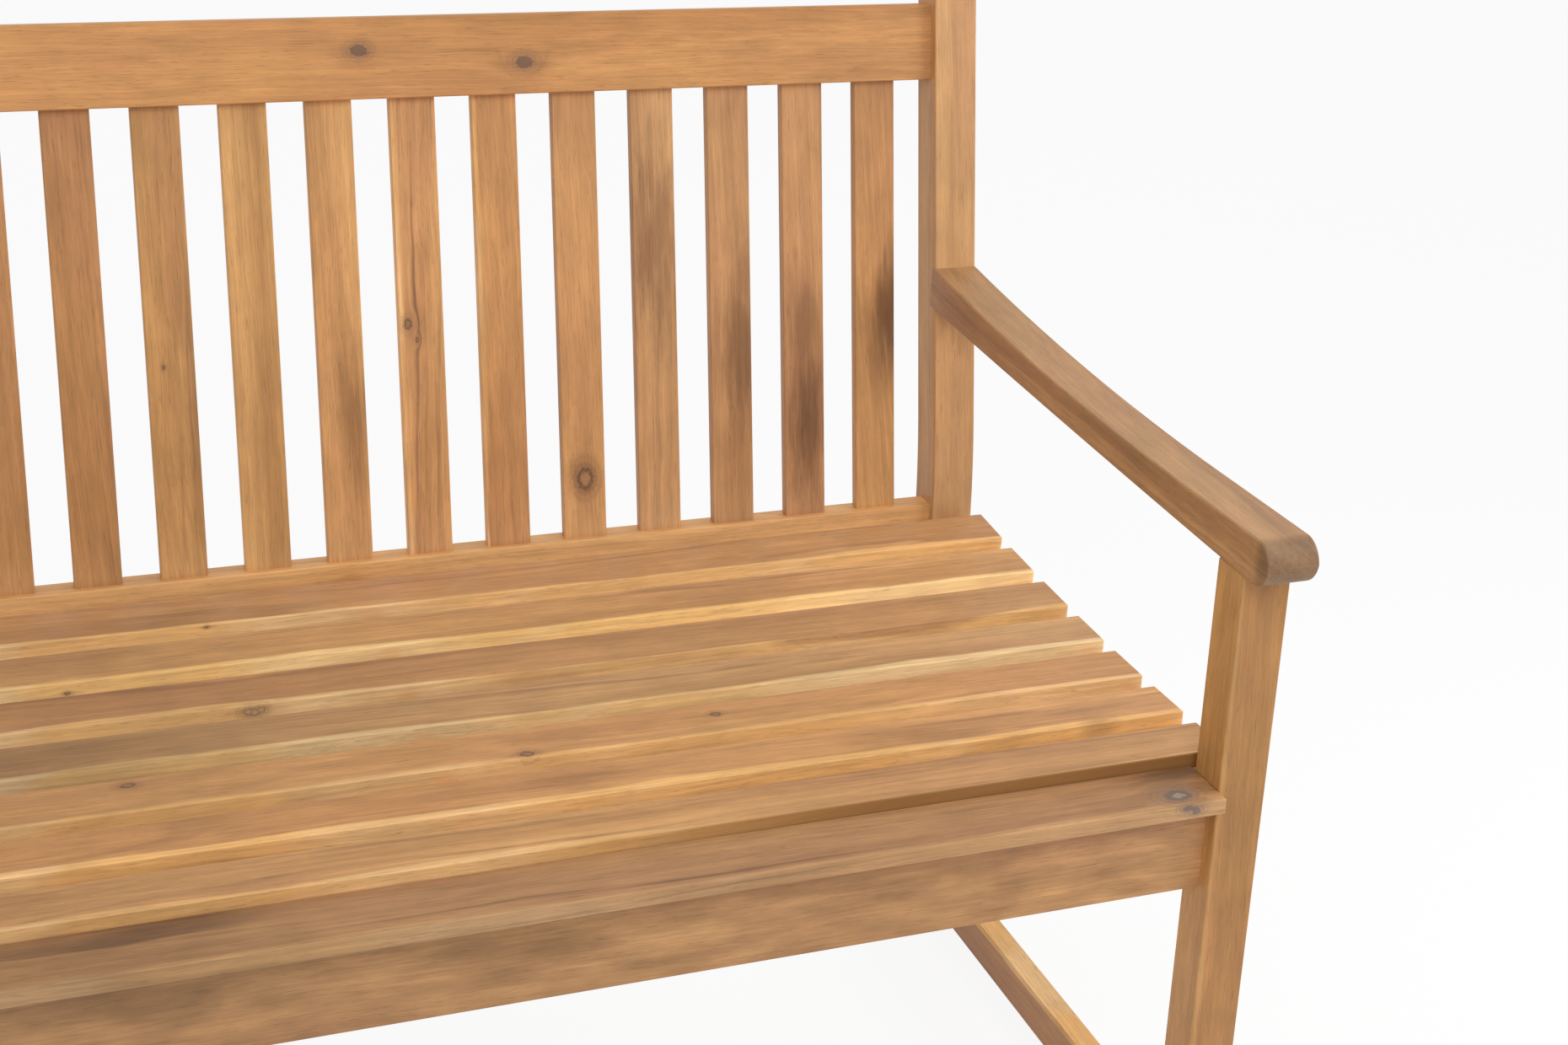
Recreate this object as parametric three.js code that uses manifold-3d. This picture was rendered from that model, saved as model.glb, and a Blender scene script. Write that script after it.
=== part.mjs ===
// A slatted hardwood rocking bench for two, in millimetres, with +Z up and the front facing -Y.
// Seen from the front, the right side is +X. Heights are above the floor, and depths run back
// from the front face of the front legs until the whole bench is centred over the origin.
import * as THREE from 'three';
import { mergeVertices } from 'three/addons/utils/BufferGeometryUtils.js';
import Module from 'manifold-3d';

const wasm = await Module();
wasm.setup();

// Sizes shared by every joint
const jointGap = 0.3;
const easing = 2;
const cutOverrun = 5;

// Front legs and rear posts, and the clear width between them
const innerWidth = 1077.5;
const legWidth = 40;
const frontLegDepth = 36;
const postDepth = 40;
const postSetback = 535.5;
const postAboveRail = 25;
const bendRise = 37;
const bendBlend = 55;
const rake = THREE.MathUtils.degToRad(8.6);

// Back: upright slats housed in two rails
const backSlatCount = 15;
const backSlatWidth = 38.5;
const backSlatEndGap = 33;
const backSlatThickness = 10;
const backSlatInset = 18;
const backSlatHousing = 10;
const topRailHeight = 67;
const topRailThickness = 24;
const topRailInset = 10;
const topRailRise = 367;
const lowerRailHeight = 78;
const lowerRailThickness = 22;
const lowerRailRise = 8;
const lowerRailInset = 8;

// Seat: seven slats on a shallow dish, and a lower slat along the front edge
const seatSlatCount = 7;
const seatSlatWidth = 48;
const seatSlatThickness = 12.5;
const seatSlatLap = 31.5;
const seatStart = 43.5;
const seatRearGap = 38.5;
const seatLowHeight = 437;
const seatLowDepth = 190;
const dishRadius = 3450;
const frontSlatWidth = 55;
const frontSlatNose = 12.5;
const frontSlatDrop = 6;

// Rails under the seat
const apronHeight = 76;
const apronThickness = 22;
const apronSetback = 13;
const sideRailThickness = 22;
const sideRailHeight = 60;
const bearerTailSlope = 0.28;
const sideTenonHeight = 36;
const tenonLength = 12;
const tenonShoulder = 4;

// Low stretchers between each front leg and its post
const stretcherHeight = 38;
const stretcherThickness = 22;
const stretcherTop = 81;

// Armrests
const armWidth = 42;
const armRise = 202;
const armThickness = 35;
const armTopRise = 29;
const armLevelDepth = 110;
const armUnderRise = 26.5;
const armUnderSag = 1.4;
const armNoseReach = 31;
const armTenonSize = 20;
const armTenonHeight = 14;

// Rockers, bolted to the outer faces of the legs
const rockerRadius = 1600;
const rockerDepth = 33;
const rockerThickness = 22;
const rockerContact = 350;
const rockerFacetLength = 34;
const rockerFrontFacets = 13;
const rockerRearFacets = 13;
const footLift = 2;

// Fasteners
const boltRadius = 3;
const boltClearance = 0.3;
const headRadius = 7;
const headHeight = 5;
const nutAcrossFlats = 12;
const nutSides = 6;
const nutHeight = 6;
const domeFacets = 4;
const railBoltLength = 84;
const armBoltLength = 78;
const armBoltDrop = 4;
const rockerBoltInset = 13;
const apronBoltDrop = 50;

// Facets of the curved outlines
const blendFacets = 5;
const armFacets = 12;
const noseFacets = 8;
const roundFacets = 16;
const halfTurn = Math.PI;
const fullTurn = 2 * Math.PI;

// Places worked out from the sizes above
const backSlatSpace = innerWidth - 2 * backSlatEndGap - backSlatCount * backSlatWidth;
const backSlatGap = backSlatSpace / (backSlatCount - 1);
const legCentre = innerWidth / 2 + legWidth / 2;
const legOuter = innerWidth / 2 + legWidth;
const rearFoot = postSetback + postDepth;
const seatSlatSpace = postSetback - seatRearGap - seatStart - seatSlatCount * seatSlatWidth;
const seatSlatGap = seatSlatSpace / (seatSlatCount - 1);
const frontSlatHeight = seatLowHeight - frontSlatDrop;
const lowerRailTop = seatLowHeight + lowerRailRise;
const bendHeight = seatLowHeight + bendRise;
const armTopHeight = seatLowHeight + armRise;
const armUnderHeight = armTopHeight - armThickness;

function finish(color, roughness, metalness) {
  return new THREE.MeshStandardMaterial({ color, roughness, metalness, flatShading: true });
}

const woods = {
  frame: finish(0xb98550, 0.55, 0),
  seat: finish(0xc08c58, 0.55, 0),
  back: finish(0xb47e4c, 0.55, 0),
};
const steel = finish(0x8f8d88, 0.35, 1);

// Solid helpers: closed meshes in and out of the boolean library

function toSolid(geometry) {
  const bare = geometry.clone();
  bare.deleteAttribute('normal');
  bare.deleteAttribute('uv');
  const merged = mergeVertices(bare);
  const mesh = new wasm.Mesh({
    numProp: 3,
    vertProperties: new Float32Array(merged.attributes.position.array),
    triVerts: new Uint32Array(merged.index.array),
  });
  return new wasm.Manifold(mesh);
}

function toGeometry(solid) {
  const mesh = solid.getMesh();
  const geometry = new THREE.BufferGeometry();
  geometry.setAttribute('position', new THREE.BufferAttribute(mesh.vertProperties, 3));
  geometry.setIndex(new THREE.BufferAttribute(mesh.triVerts, 1));
  return geometry;
}

function shaped(geometry, cuts, additions = []) {
  let solid = toSolid(geometry);
  for (const addition of additions) {
    solid = solid.add(toSolid(addition));
  }
  for (const cut of cuts) {
    solid = solid.subtract(toSolid(cut));
  }
  return toGeometry(solid);
}

// Geometry helpers

// A side outline of [depth, height] points, carried across the bench and centred on x = 0.
function sideProfile(points, width, eased = easing) {
  const shape = new THREE.Shape(points.map(([y, z]) => new THREE.Vector2(y, z)));
  const geometry = new THREE.ExtrudeGeometry(shape, {
    depth: width - 2 * eased,
    bevelEnabled: eased > 0,
    bevelThickness: eased,
    bevelSize: eased,
    bevelOffset: -eased,
    bevelSegments: 1,
  });
  geometry.translate(0, 0, eased - width / 2);
  const axes = new THREE.Matrix4().makeBasis(
    new THREE.Vector3(0, 1, 0), new THREE.Vector3(0, 0, 1), new THREE.Vector3(1, 0, 0));
  return geometry.applyMatrix4(axes);
}

function block(x, y, z, width, depth, height) {
  return new THREE.BoxGeometry(width, depth, height).translate(x, y, z);
}

// The corners of a board's section, with its four long edges eased.
function easedSection(depth, height) {
  const y = depth / 2;
  const z = height / 2;
  return [
    [-y + easing, -z], [y - easing, -z], [y, -z + easing], [y, z - easing],
    [y - easing, z], [-y + easing, z], [-y, z - easing], [-y, -z + easing],
  ];
}

// A board lying along X, with every edge eased.
function crossBoard(length, depth, height) {
  return sideProfile(easedSection(depth, height), length);
}

// A board standing along Z, with its long edges eased and square ends.
function uprightBoard(width, depth, height) {
  const points = easedSection(width, depth).map(([x, y]) => new THREE.Vector2(x, y));
  const shape = new THREE.Shape(points);
  const geometry = new THREE.ExtrudeGeometry(shape, { depth: height, bevelEnabled: false });
  return geometry.translate(0, 0, -height / 2);
}

function rodAlongX(x, y, z, radius, length) {
  return new THREE.CylinderGeometry(radius, radius, length, roundFacets)
    .rotateZ(halfTurn / 2).translate(x, y, z);
}

function rodAlongY(x, y, z, radius, length) {
  return new THREE.CylinderGeometry(radius, radius, length, roundFacets).translate(x, y, z);
}

// A dome-headed bolt from the top of its head at the origin, with its shank along +Y.
function boltGeometry(length) {
  const profile = [];
  for (let step = 0; step <= domeFacets; step += 1) {
    const angle = halfTurn / 2 * step / domeFacets;
    profile.push([headRadius * Math.sin(angle), headHeight * (1 - Math.cos(angle))]);
  }
  profile.push([boltRadius, headHeight], [boltRadius, length], [0, length]);
  return new THREE.LatheGeometry(profile.map(([r, y]) => new THREE.Vector2(r, y)), roundFacets);
}

function nutGeometry() {
  const corner = nutAcrossFlats / 2 / Math.cos(halfTurn / nutSides);
  const corners = [];
  for (let side = 0; side < nutSides; side += 1) {
    const angle = side * fullTurn / nutSides;
    corners.push(new THREE.Vector2(corner * Math.cos(angle), corner * Math.sin(angle)));
  }
  const outline = new THREE.Shape(corners);
  const hole = new THREE.Path();
  hole.absarc(0, 0, boltRadius + boltClearance, 0, fullTurn, true);
  outline.holes.push(hole);
  return new THREE.ExtrudeGeometry(outline, {
    depth: nutHeight,
    bevelEnabled: false,
    curveSegments: roundFacets / 2,
  });
}

// Curves that several pieces follow

// Height of the rockers' tread above the floor at a depth.
function treadHeight(y) {
  return rockerRadius - Math.sqrt(rockerRadius ** 2 - (y - rockerContact) ** 2);
}

// Height of the dish that the seat slats are laid to, less a drop below its surface.
function dishHeight(y, drop) {
  const radius = dishRadius + drop;
  return seatLowHeight + dishRadius - Math.sqrt(radius ** 2 - (y - seatLowDepth) ** 2);
}

// Depth of the posts' front face at a height.
function postFace(z) {
  return postSetback + Math.max(0, z - bendHeight) * Math.tan(rake);
}

function armRear() {
  return postFace(armTopHeight + armTopRise);
}

function armTop(y) {
  const share = Math.max(0, (y - armLevelDepth) / (armRear() - armLevelDepth));
  return armTopHeight + armTopRise * share ** 2;
}

function armUnder(y) {
  const share = y / armRear();
  return armUnderHeight + armUnderRise * share - 4 * armUnderSag * share * (1 - share);
}

// Depths of the seat slats' front edges.
function seatSlatFront(index) {
  return seatStart + index * (seatSlatWidth + seatSlatGap);
}

// The back's own frame: the front face of the raked posts, from the bend upwards.
function rakedMatrix() {
  const turn = new THREE.Matrix4().makeRotationX(-rake);
  return turn.setPosition(0, postSetback, bendHeight);
}

// Where each back slat stands, from left to right.
function backSlatCentre(index) {
  const pitch = backSlatWidth + backSlatGap;
  return -innerWidth / 2 + backSlatEndGap + backSlatWidth / 2 + index * pitch;
}

const slatFootDrop = bendHeight - lowerRailTop - backSlatInset * Math.sin(rake);
const slatFoot = -slatFootDrop / Math.cos(rake) - backSlatHousing;
const slatHead = topRailRise + backSlatHousing;
const slatCentreInset = backSlatInset + backSlatThickness / 2;
const topRailCentre = [topRailInset + topRailThickness / 2, topRailRise + topRailHeight / 2];
const apronTop = frontSlatHeight - seatSlatThickness - jointGap;
const apronBolt = [apronSetback + apronThickness / 2, apronTop - apronBoltDrop];
const lowerRailCentre = [
  postSetback + lowerRailInset + lowerRailThickness / 2,
  lowerRailTop - lowerRailHeight / 2,
];
const stretcherCentre = stretcherTop - stretcherHeight / 2;
const sideRailCentre = seatLowHeight - seatSlatThickness - jointGap - sideRailHeight / 2;
const armEndMiddle = (armTopHeight + armTopRise + armUnderHeight + armUnderRise) / 2;
const armBoltRise = (armEndMiddle - armBoltDrop - bendHeight) / Math.cos(rake);

function rockerBolt(depth) {
  return [depth, treadHeight(depth) + rockerDepth / 2];
}

const frontRockerBolt = rockerBolt(rockerBoltInset);
const rearRockerBolt = rockerBolt(rearFoot - rockerBoltInset);

const bench = new THREE.Group();

function place(parent, name, geometry, material, x = 0, y = 0, z = 0) {
  const mesh = new THREE.Mesh(geometry, material);
  mesh.name = name;
  mesh.position.set(x, y, z);
  parent.add(mesh);
  return mesh;
}

// Cuts in a leg's own frame, with its outer face on the +X side

function throughHole([y, z]) {
  return rodAlongX(0, y, z, boltRadius + boltClearance, legWidth + 2 * cutOverrun);
}

// A mortise for a rail's tenon, open on the face at a depth, running towards +Y or -Y.
function mortise(faceY, towards, centreZ, thickness, height) {
  const open = tenonLength + jointGap + cutOverrun;
  const y = faceY + towards * (open / 2 - cutOverrun);
  return block(0, y, centreZ, thickness + 2 * jointGap, open, height + 2 * jointGap);
}

const stretcherTenon = [stretcherThickness - 2 * tenonShoulder, stretcherHeight - 2 * tenonShoulder];
const sideRailTenon = [sideRailThickness - 2 * tenonShoulder, sideTenonHeight];

function addFrontLeg(side, word) {
  const outline = [
    [0, treadHeight(0) + footLift],
    [frontLegDepth, treadHeight(frontLegDepth) + footLift],
    [frontLegDepth, armUnder(frontLegDepth) - jointGap],
    [0, armUnder(0) - jointGap],
  ];
  const tenonZ = armUnder(frontLegDepth / 2) + armTenonHeight / 2 - cutOverrun;
  const tenonHeight = armTenonHeight + 2 * cutOverrun;
  const tenon = block(0, frontLegDepth / 2, tenonZ, armTenonSize, armTenonSize, tenonHeight);
  const cuts = [
    mortise(frontLegDepth, -1, stretcherCentre, ...stretcherTenon),
    mortise(frontLegDepth, -1, sideRailCentre, ...sideRailTenon),
    throughHole(frontRockerBolt),
    throughHole(apronBolt),
  ];
  const geometry = shaped(sideProfile(outline, legWidth), cuts, [tenon]);
  place(bench, `front_leg_${word}`, mirrored(geometry, side), woods.frame, side * legCentre);
}

// A copy for the left side is the mirror image across x = 0, with its faces turned back outwards.
function mirrored(geometry, side) {
  if (side > 0) {
    return geometry;
  }
  const flipped = geometry.clone().scale(-1, 1, 1);
  const index = flipped.index.array.slice();
  for (let i = 0; i < index.length; i += 3) {
    const first = index[i];
    index[i] = index[i + 2];
    index[i + 2] = first;
  }
  flipped.setIndex(new THREE.BufferAttribute(index, 1));
  return flipped;
}

// One long edge of a post, blended where the raked part leaves the upright part.
function blendedEdge(depth) {
  const corner = new THREE.Vector2(postSetback + depth, bendHeight - depth * Math.tan(rake / 2));
  const along = new THREE.Vector2(Math.sin(rake), Math.cos(rake));
  const below = corner.clone().sub(new THREE.Vector2(0, bendBlend));
  const above = corner.clone().addScaledVector(along, bendBlend);
  const curve = new THREE.QuadraticBezierCurve(below, corner, above);
  const rise = topRailRise + topRailHeight + postAboveRail - depth * Math.tan(rake / 2);
  const end = corner.clone().addScaledVector(along, rise);
  return [...curve.getPoints(blendFacets), end].map((point) => [point.x, point.y]);
}

function addPost(side, word) {
  const outline = [
    [postSetback, treadHeight(postSetback) + footLift],
    [rearFoot, treadHeight(rearFoot) + footLift],
    ...blendedEdge(postDepth),
    ...blendedEdge(0).reverse(),
  ];
  const topRailBolt = new THREE.Vector3(0, ...topRailCentre).applyMatrix4(rakedMatrix());
  const topRailHole = [topRailBolt.y, topRailBolt.z];
  const holeRadius = boltRadius + boltClearance;
  const armHole = rodAlongY(0, postDepth / 2, armBoltRise, holeRadius, postDepth + 2 * cutOverrun);
  const cuts = [
    mortise(postSetback, 1, stretcherCentre, ...stretcherTenon),
    mortise(postSetback, 1, sideRailCentre, ...sideRailTenon),
    throughHole(rearRockerBolt),
    throughHole(lowerRailCentre),
    throughHole(topRailHole),
    armHole.applyMatrix4(rakedMatrix()),
  ];
  const geometry = shaped(sideProfile(outline, legWidth), cuts);
  place(bench, `rear_post_${word}`, mirrored(geometry, side), woods.frame, side * legCentre);
}

// A rail between a leg and its post, with a tenon at each end.
function tenonedRail(outline, thickness, centreZ, tenon) {
  const length = postSetback - frontLegDepth + 2 * tenonLength - 2 * jointGap;
  const middle = (postSetback + frontLegDepth) / 2;
  const tenons = block(0, middle, centreZ, tenon[0], length, tenon[1]);
  return shaped(sideProfile(outline, thickness), [], [tenons]);
}

function addStretcher(side, word) {
  const front = frontLegDepth + jointGap;
  const rear = postSetback - jointGap;
  const low = stretcherTop - stretcherHeight;
  const outline = [[front, low], [rear, low], [rear, stretcherTop], [front, stretcherTop]];
  const geometry = tenonedRail(outline, stretcherThickness, stretcherCentre, stretcherTenon);
  place(bench, `side_stretcher_${word}`, geometry, woods.frame, side * legCentre);
}

// The upper edge of a seat bearer, from its rear end to its front end: it falls away behind the
// last slat, and follows the dish under the slats.
function bearerTop(front, rear) {
  const slatRear = seatSlatFront(seatSlatCount - 1) + seatSlatWidth;
  const tailFall = bearerTailSlope * (rear - slatRear);
  const points = [[rear, dishHeight(slatRear, seatSlatThickness + jointGap) - tailFall]];
  for (let slat = seatSlatCount - 1; slat >= 0; slat -= 1) {
    for (const y of [seatSlatFront(slat) + seatSlatWidth, seatSlatFront(slat)]) {
      points.push([y, dishHeight(y, seatSlatThickness + jointGap)]);
    }
  }
  points.push([front, dishHeight(front, seatSlatThickness + jointGap)]);
  return points;
}

function addSideRail(side, word) {
  const front = frontLegDepth + jointGap;
  const rear = postSetback - jointGap;
  const low = sideRailCentre - sideRailHeight / 2;
  const outline = [[front, low], [rear, low], ...bearerTop(front, rear)];
  const geometry = tenonedRail(outline, sideRailThickness, sideRailCentre, sideRailTenon);
  place(bench, `side_seat_rail_${word}`, geometry, woods.frame, side * legCentre);
}

function addArm(side, word) {
  const noseRadius = (armTop(0) - armUnder(0)) / 2;
  const noseCentre = noseRadius - armNoseReach;
  const outline = [];
  for (let step = 0; step <= armFacets; step += 1) {
    const y = noseCentre + (armRear() - noseCentre) * step / armFacets;
    outline.push([Math.min(y, postFace(armUnder(y)) - jointGap), armUnder(Math.max(0, y))]);
  }
  for (let step = armFacets; step >= 0; step -= 1) {
    const y = noseCentre + (armRear() - noseCentre) * step / armFacets;
    outline.push([Math.min(y, postFace(armTop(y)) - jointGap), armTop(y)]);
  }
  for (let step = 1; step < noseFacets; step += 1) {
    const angle = halfTurn / 2 + halfTurn * step / noseFacets;
    const z = armUnder(0) + noseRadius + noseRadius * Math.sin(angle);
    outline.push([noseCentre + noseRadius * Math.cos(angle), z]);
  }
  const socketZ = armUnder(frontLegDepth / 2) - cutOverrun + (armTenonHeight + cutOverrun + jointGap) / 2;
  const socketSize = armTenonSize + 2 * jointGap;
  const socketHeight = armTenonHeight + cutOverrun + jointGap;
  const pilotLength = armBoltLength - headHeight - postDepth;
  const pilot = rodAlongY(0, -pilotLength / 2 + cutOverrun, armBoltRise, boltRadius + boltClearance,
    pilotLength + 2 * cutOverrun);
  const cuts = [
    block(0, frontLegDepth / 2, socketZ, socketSize, socketSize, socketHeight),
    pilot.applyMatrix4(rakedMatrix()),
  ];
  const geometry = shaped(sideProfile(outline, armWidth), cuts);
  place(bench, `armrest_${word}`, geometry, woods.frame, side * legCentre);
}

// Each rocker is a strip between two arcs with rounded tips, let stand against the legs' outer faces.
function addRocker(side, word) {
  const facets = rockerFrontFacets + rockerRearFacets;
  const facetAngle = rockerFacetLength / rockerRadius;
  const start = (1 / 2 - rockerFrontFacets) * facetAngle;
  const angles = Array.from({ length: facets }, (_, step) => start + step * facetAngle);
  const onArc = (radius, angle) => [
    rockerContact + radius * Math.sin(angle), rockerRadius - radius * Math.cos(angle),
  ];
  const tip = (angle, direction) => {
    const [y, z] = onArc(rockerRadius - rockerDepth / 2, angle);
    const points = [];
    for (let step = 1; step < noseFacets; step += 1) {
      const turn = angle - halfTurn / 2 + direction * halfTurn * step / noseFacets;
      points.push([y + rockerDepth / 2 * Math.cos(turn), z + rockerDepth / 2 * Math.sin(turn)]);
    }
    return points;
  };
  const outline = [
    ...angles.map((angle) => onArc(rockerRadius, angle)),
    ...tip(angles.at(-1), 1),
    ...angles.map((angle) => onArc(rockerRadius - rockerDepth, angle)).reverse(),
    ...tip(start, -1).reverse(),
  ];
  const holes = [frontRockerBolt, rearRockerBolt].map(([y, z]) =>
    rodAlongX(0, y, z, boltRadius + boltClearance, rockerThickness + 2 * cutOverrun));
  const x = side * (legOuter + jointGap + rockerThickness / 2);
  place(bench, `rocker_${word}`, shaped(sideProfile(outline, rockerThickness), holes), woods.frame, x);
}

function addRockerBolts(side, word) {
  const ends = { front: frontRockerBolt, rear: rearRockerBolt };
  const headFace = legOuter + jointGap + rockerThickness + jointGap + headHeight;
  const nutFace = innerWidth / 2 - jointGap;
  for (const [end, [y, z]] of Object.entries(ends)) {
    const bolt = boltGeometry(headFace - nutFace + nutHeight);
    bolt.rotateZ(side * halfTurn / 2);
    place(bench, `rocker_bolt_${end}_${word}`, bolt, steel, side * headFace, y, z);
    const nut = nutGeometry().rotateY(-side * halfTurn / 2);
    place(bench, `rocker_nut_${end}_${word}`, nut, steel, side * nutFace, y, z);
  }
}

// A pilot hole in each end of a rail that bolts between the two sides.
function endPilots(y, z) {
  const reach = railBoltLength - headHeight - legWidth;
  const x = innerWidth / 2 - reach / 2 + cutOverrun;
  return [-1, 1].map((side) =>
    rodAlongX(side * x, y, z, boltRadius + boltClearance, reach + 2 * cutOverrun));
}

function addRailBolts(parent, rail, y, z) {
  for (const [side, word] of [[-1, 'left'], [1, 'right']]) {
    const bolt = boltGeometry(railBoltLength).rotateZ(side * halfTurn / 2);
    place(parent, `${rail}_bolt_${word}`, bolt, steel, side * (legOuter + jointGap + headHeight), y, z);
  }
}

// A stub tenon's pocket in a rail that carries the centre support.
function supportPocket(faceY, towards) {
  return mortise(faceY, towards, sideRailCentre, ...sideRailTenon);
}

function addApron() {
  const length = innerWidth - 2 * jointGap;
  const y = apronSetback + apronThickness / 2;
  const z = apronTop - apronHeight / 2;
  const board = crossBoard(length, apronThickness, apronHeight).translate(0, y, z);
  const cuts = [...endPilots(...apronBolt), supportPocket(apronSetback + apronThickness, -1)];
  place(bench, 'front_apron', shaped(board, cuts), woods.frame);
  addRailBolts(bench, 'front_apron', ...apronBolt);
}

function slatCut(index) {
  const height = slatHead - slatFoot;
  const cut = block(backSlatCentre(index), slatCentreInset, slatFoot + height / 2 - jointGap,
    backSlatWidth + 2 * jointGap, backSlatThickness + 2 * jointGap, height);
  return cut.applyMatrix4(rakedMatrix());
}

function addLowerBackRail() {
  const [y, z] = lowerRailCentre;
  const length = innerWidth - 2 * jointGap;
  const board = crossBoard(length, lowerRailThickness, lowerRailHeight).translate(0, y, z);
  const cuts = [...endPilots(y, z), supportPocket(y - lowerRailThickness / 2, 1)];
  for (let index = 0; index < backSlatCount; index += 1) {
    cuts.push(slatCut(index));
  }
  place(bench, 'lower_back_rail', shaped(board, cuts), woods.back);
  addRailBolts(bench, 'lower_back_rail', y, z);
}

function addTopRail(back) {
  const [y, z] = topRailCentre;
  const length = innerWidth - 2 * jointGap;
  const board = crossBoard(length, topRailThickness, topRailHeight).translate(0, y, z);
  const cuts = endPilots(y, z);
  const pocketHeight = backSlatHousing + jointGap + cutOverrun;
  const pocketZ = topRailRise - cutOverrun + pocketHeight / 2;
  for (let index = 0; index < backSlatCount; index += 1) {
    cuts.push(block(backSlatCentre(index), slatCentreInset, pocketZ,
      backSlatWidth + 2 * jointGap, backSlatThickness + 2 * jointGap, pocketHeight));
  }
  place(back, 'top_rail', shaped(board, cuts), woods.back);
  addRailBolts(back, 'top_rail', y, z);
}

function addBackSlats(back) {
  const height = slatHead - slatFoot;
  for (let index = 0; index < backSlatCount; index += 1) {
    const name = `back_slat_${String(index + 1).padStart(2, '0')}`;
    const geometry = uprightBoard(backSlatWidth, backSlatThickness, height);
    place(back, name, geometry, woods.back, backSlatCentre(index), slatCentreInset, slatFoot + height / 2);
  }
}

function addArmBolts(back) {
  for (const [side, word] of [[-1, 'left'], [1, 'right']]) {
    const bolt = boltGeometry(armBoltLength).rotateZ(halfTurn);
    const y = postDepth + jointGap + headHeight;
    place(back, `armrest_bolt_${word}`, bolt, steel, side * legCentre, y, armBoltRise);
  }
}

// Each seat slat is laid square to the dish at its own middle.
function addSeatSlats() {
  const length = innerWidth + 2 * seatSlatLap;
  for (let index = 0; index < seatSlatCount; index += 1) {
    const middle = seatSlatFront(index) + seatSlatWidth / 2;
    const tilt = Math.asin((middle - seatLowDepth) / dishRadius);
    const radius = dishRadius + seatSlatThickness / 2;
    const y = seatLowDepth + radius * Math.sin(tilt);
    const z = seatLowHeight + dishRadius - radius * Math.cos(tilt);
    const geometry = crossBoard(length, seatSlatWidth, seatSlatThickness);
    const slat = place(bench, `seat_slat_${index + 1}`, geometry, woods.seat, 0, y, z);
    slat.rotation.x = tilt;
  }
}

function addFrontSlat() {
  const geometry = crossBoard(innerWidth - 2 * jointGap, frontSlatWidth, seatSlatThickness);
  const y = frontSlatWidth / 2 - frontSlatNose;
  place(bench, 'seat_slat_front', geometry, woods.seat, 0, y, frontSlatHeight - seatSlatThickness / 2);
}

function addCentreSupport() {
  const front = apronSetback + apronThickness + jointGap;
  const rear = lowerRailCentre[0] - lowerRailThickness / 2 - jointGap;
  const low = sideRailCentre - sideRailHeight / 2;
  const outline = [[front, low], [rear, low], ...bearerTop(front, rear)];
  const length = rear - front + 2 * tenonLength;
  const tenon = block(0, (front + rear) / 2, sideRailCentre, sideRailTenon[0], length, sideRailTenon[1]);
  const notchDepth = frontSlatWidth + 2 * jointGap;
  const notchBottom = frontSlatHeight - seatSlatThickness - jointGap;
  const notch = block(0, notchDepth / 2 - frontSlatNose, notchBottom + seatSlatThickness,
    sideRailThickness + 2 * cutOverrun, notchDepth, 2 * seatSlatThickness);
  const geometry = shaped(sideProfile(outline, sideRailThickness), [notch], [tenon]);
  place(bench, 'centre_seat_support', geometry, woods.frame);
}

for (const [side, word] of [[-1, 'left'], [1, 'right']]) {
  addFrontLeg(side, word);
  addPost(side, word);
  addStretcher(side, word);
  addSideRail(side, word);
  addArm(side, word);
  addRocker(side, word);
  addRockerBolts(side, word);
}
addApron();
addCentreSupport();
addSeatSlats();
addFrontSlat();
addLowerBackRail();

const back = new THREE.Group();
back.applyMatrix4(rakedMatrix());
bench.add(back);
addTopRail(back);
addBackSlats(back);
addArmBolts(back);

// The bench stands on the floor with the middle of its outline over the origin.
const outlineBox = new THREE.Box3().setFromObject(bench);
const outlineCentre = outlineBox.getCenter(new THREE.Vector3());
bench.position.set(-outlineCentre.x, -outlineCentre.y, -outlineBox.min.z);

export default bench;
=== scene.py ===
"""Dresses the rocking bench's frame with eased, figured boards and plated bolts, and stages it."""

import math

import bpy
import numpy as np
from bpy.props import FloatProperty, FloatVectorProperty, PointerProperty
from mathutils import Matrix, Vector


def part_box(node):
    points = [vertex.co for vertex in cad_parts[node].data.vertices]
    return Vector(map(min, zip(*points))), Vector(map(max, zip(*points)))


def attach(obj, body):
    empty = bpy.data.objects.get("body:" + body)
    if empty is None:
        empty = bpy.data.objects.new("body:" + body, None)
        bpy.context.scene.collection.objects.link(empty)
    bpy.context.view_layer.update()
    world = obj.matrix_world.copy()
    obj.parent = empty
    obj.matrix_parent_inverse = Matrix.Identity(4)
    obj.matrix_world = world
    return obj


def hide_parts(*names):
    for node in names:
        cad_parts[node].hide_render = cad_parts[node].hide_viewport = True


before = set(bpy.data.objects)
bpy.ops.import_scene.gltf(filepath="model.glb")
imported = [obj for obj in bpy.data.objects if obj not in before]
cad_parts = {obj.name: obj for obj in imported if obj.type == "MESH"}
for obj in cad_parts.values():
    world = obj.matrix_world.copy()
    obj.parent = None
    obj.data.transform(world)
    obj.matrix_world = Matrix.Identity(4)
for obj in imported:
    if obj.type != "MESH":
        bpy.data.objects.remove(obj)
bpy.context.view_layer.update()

bl_info = {
    "name": "Rocking bench",
    "version": (1, 0, 0),
    "blender": (4, 5, 0),
    "location": "3D View > Sidebar > Bench",
    "description": "Makes the boards, bolts, finishes and stage of a slatted rocking bench",
    "category": "Add Mesh",
}

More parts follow.
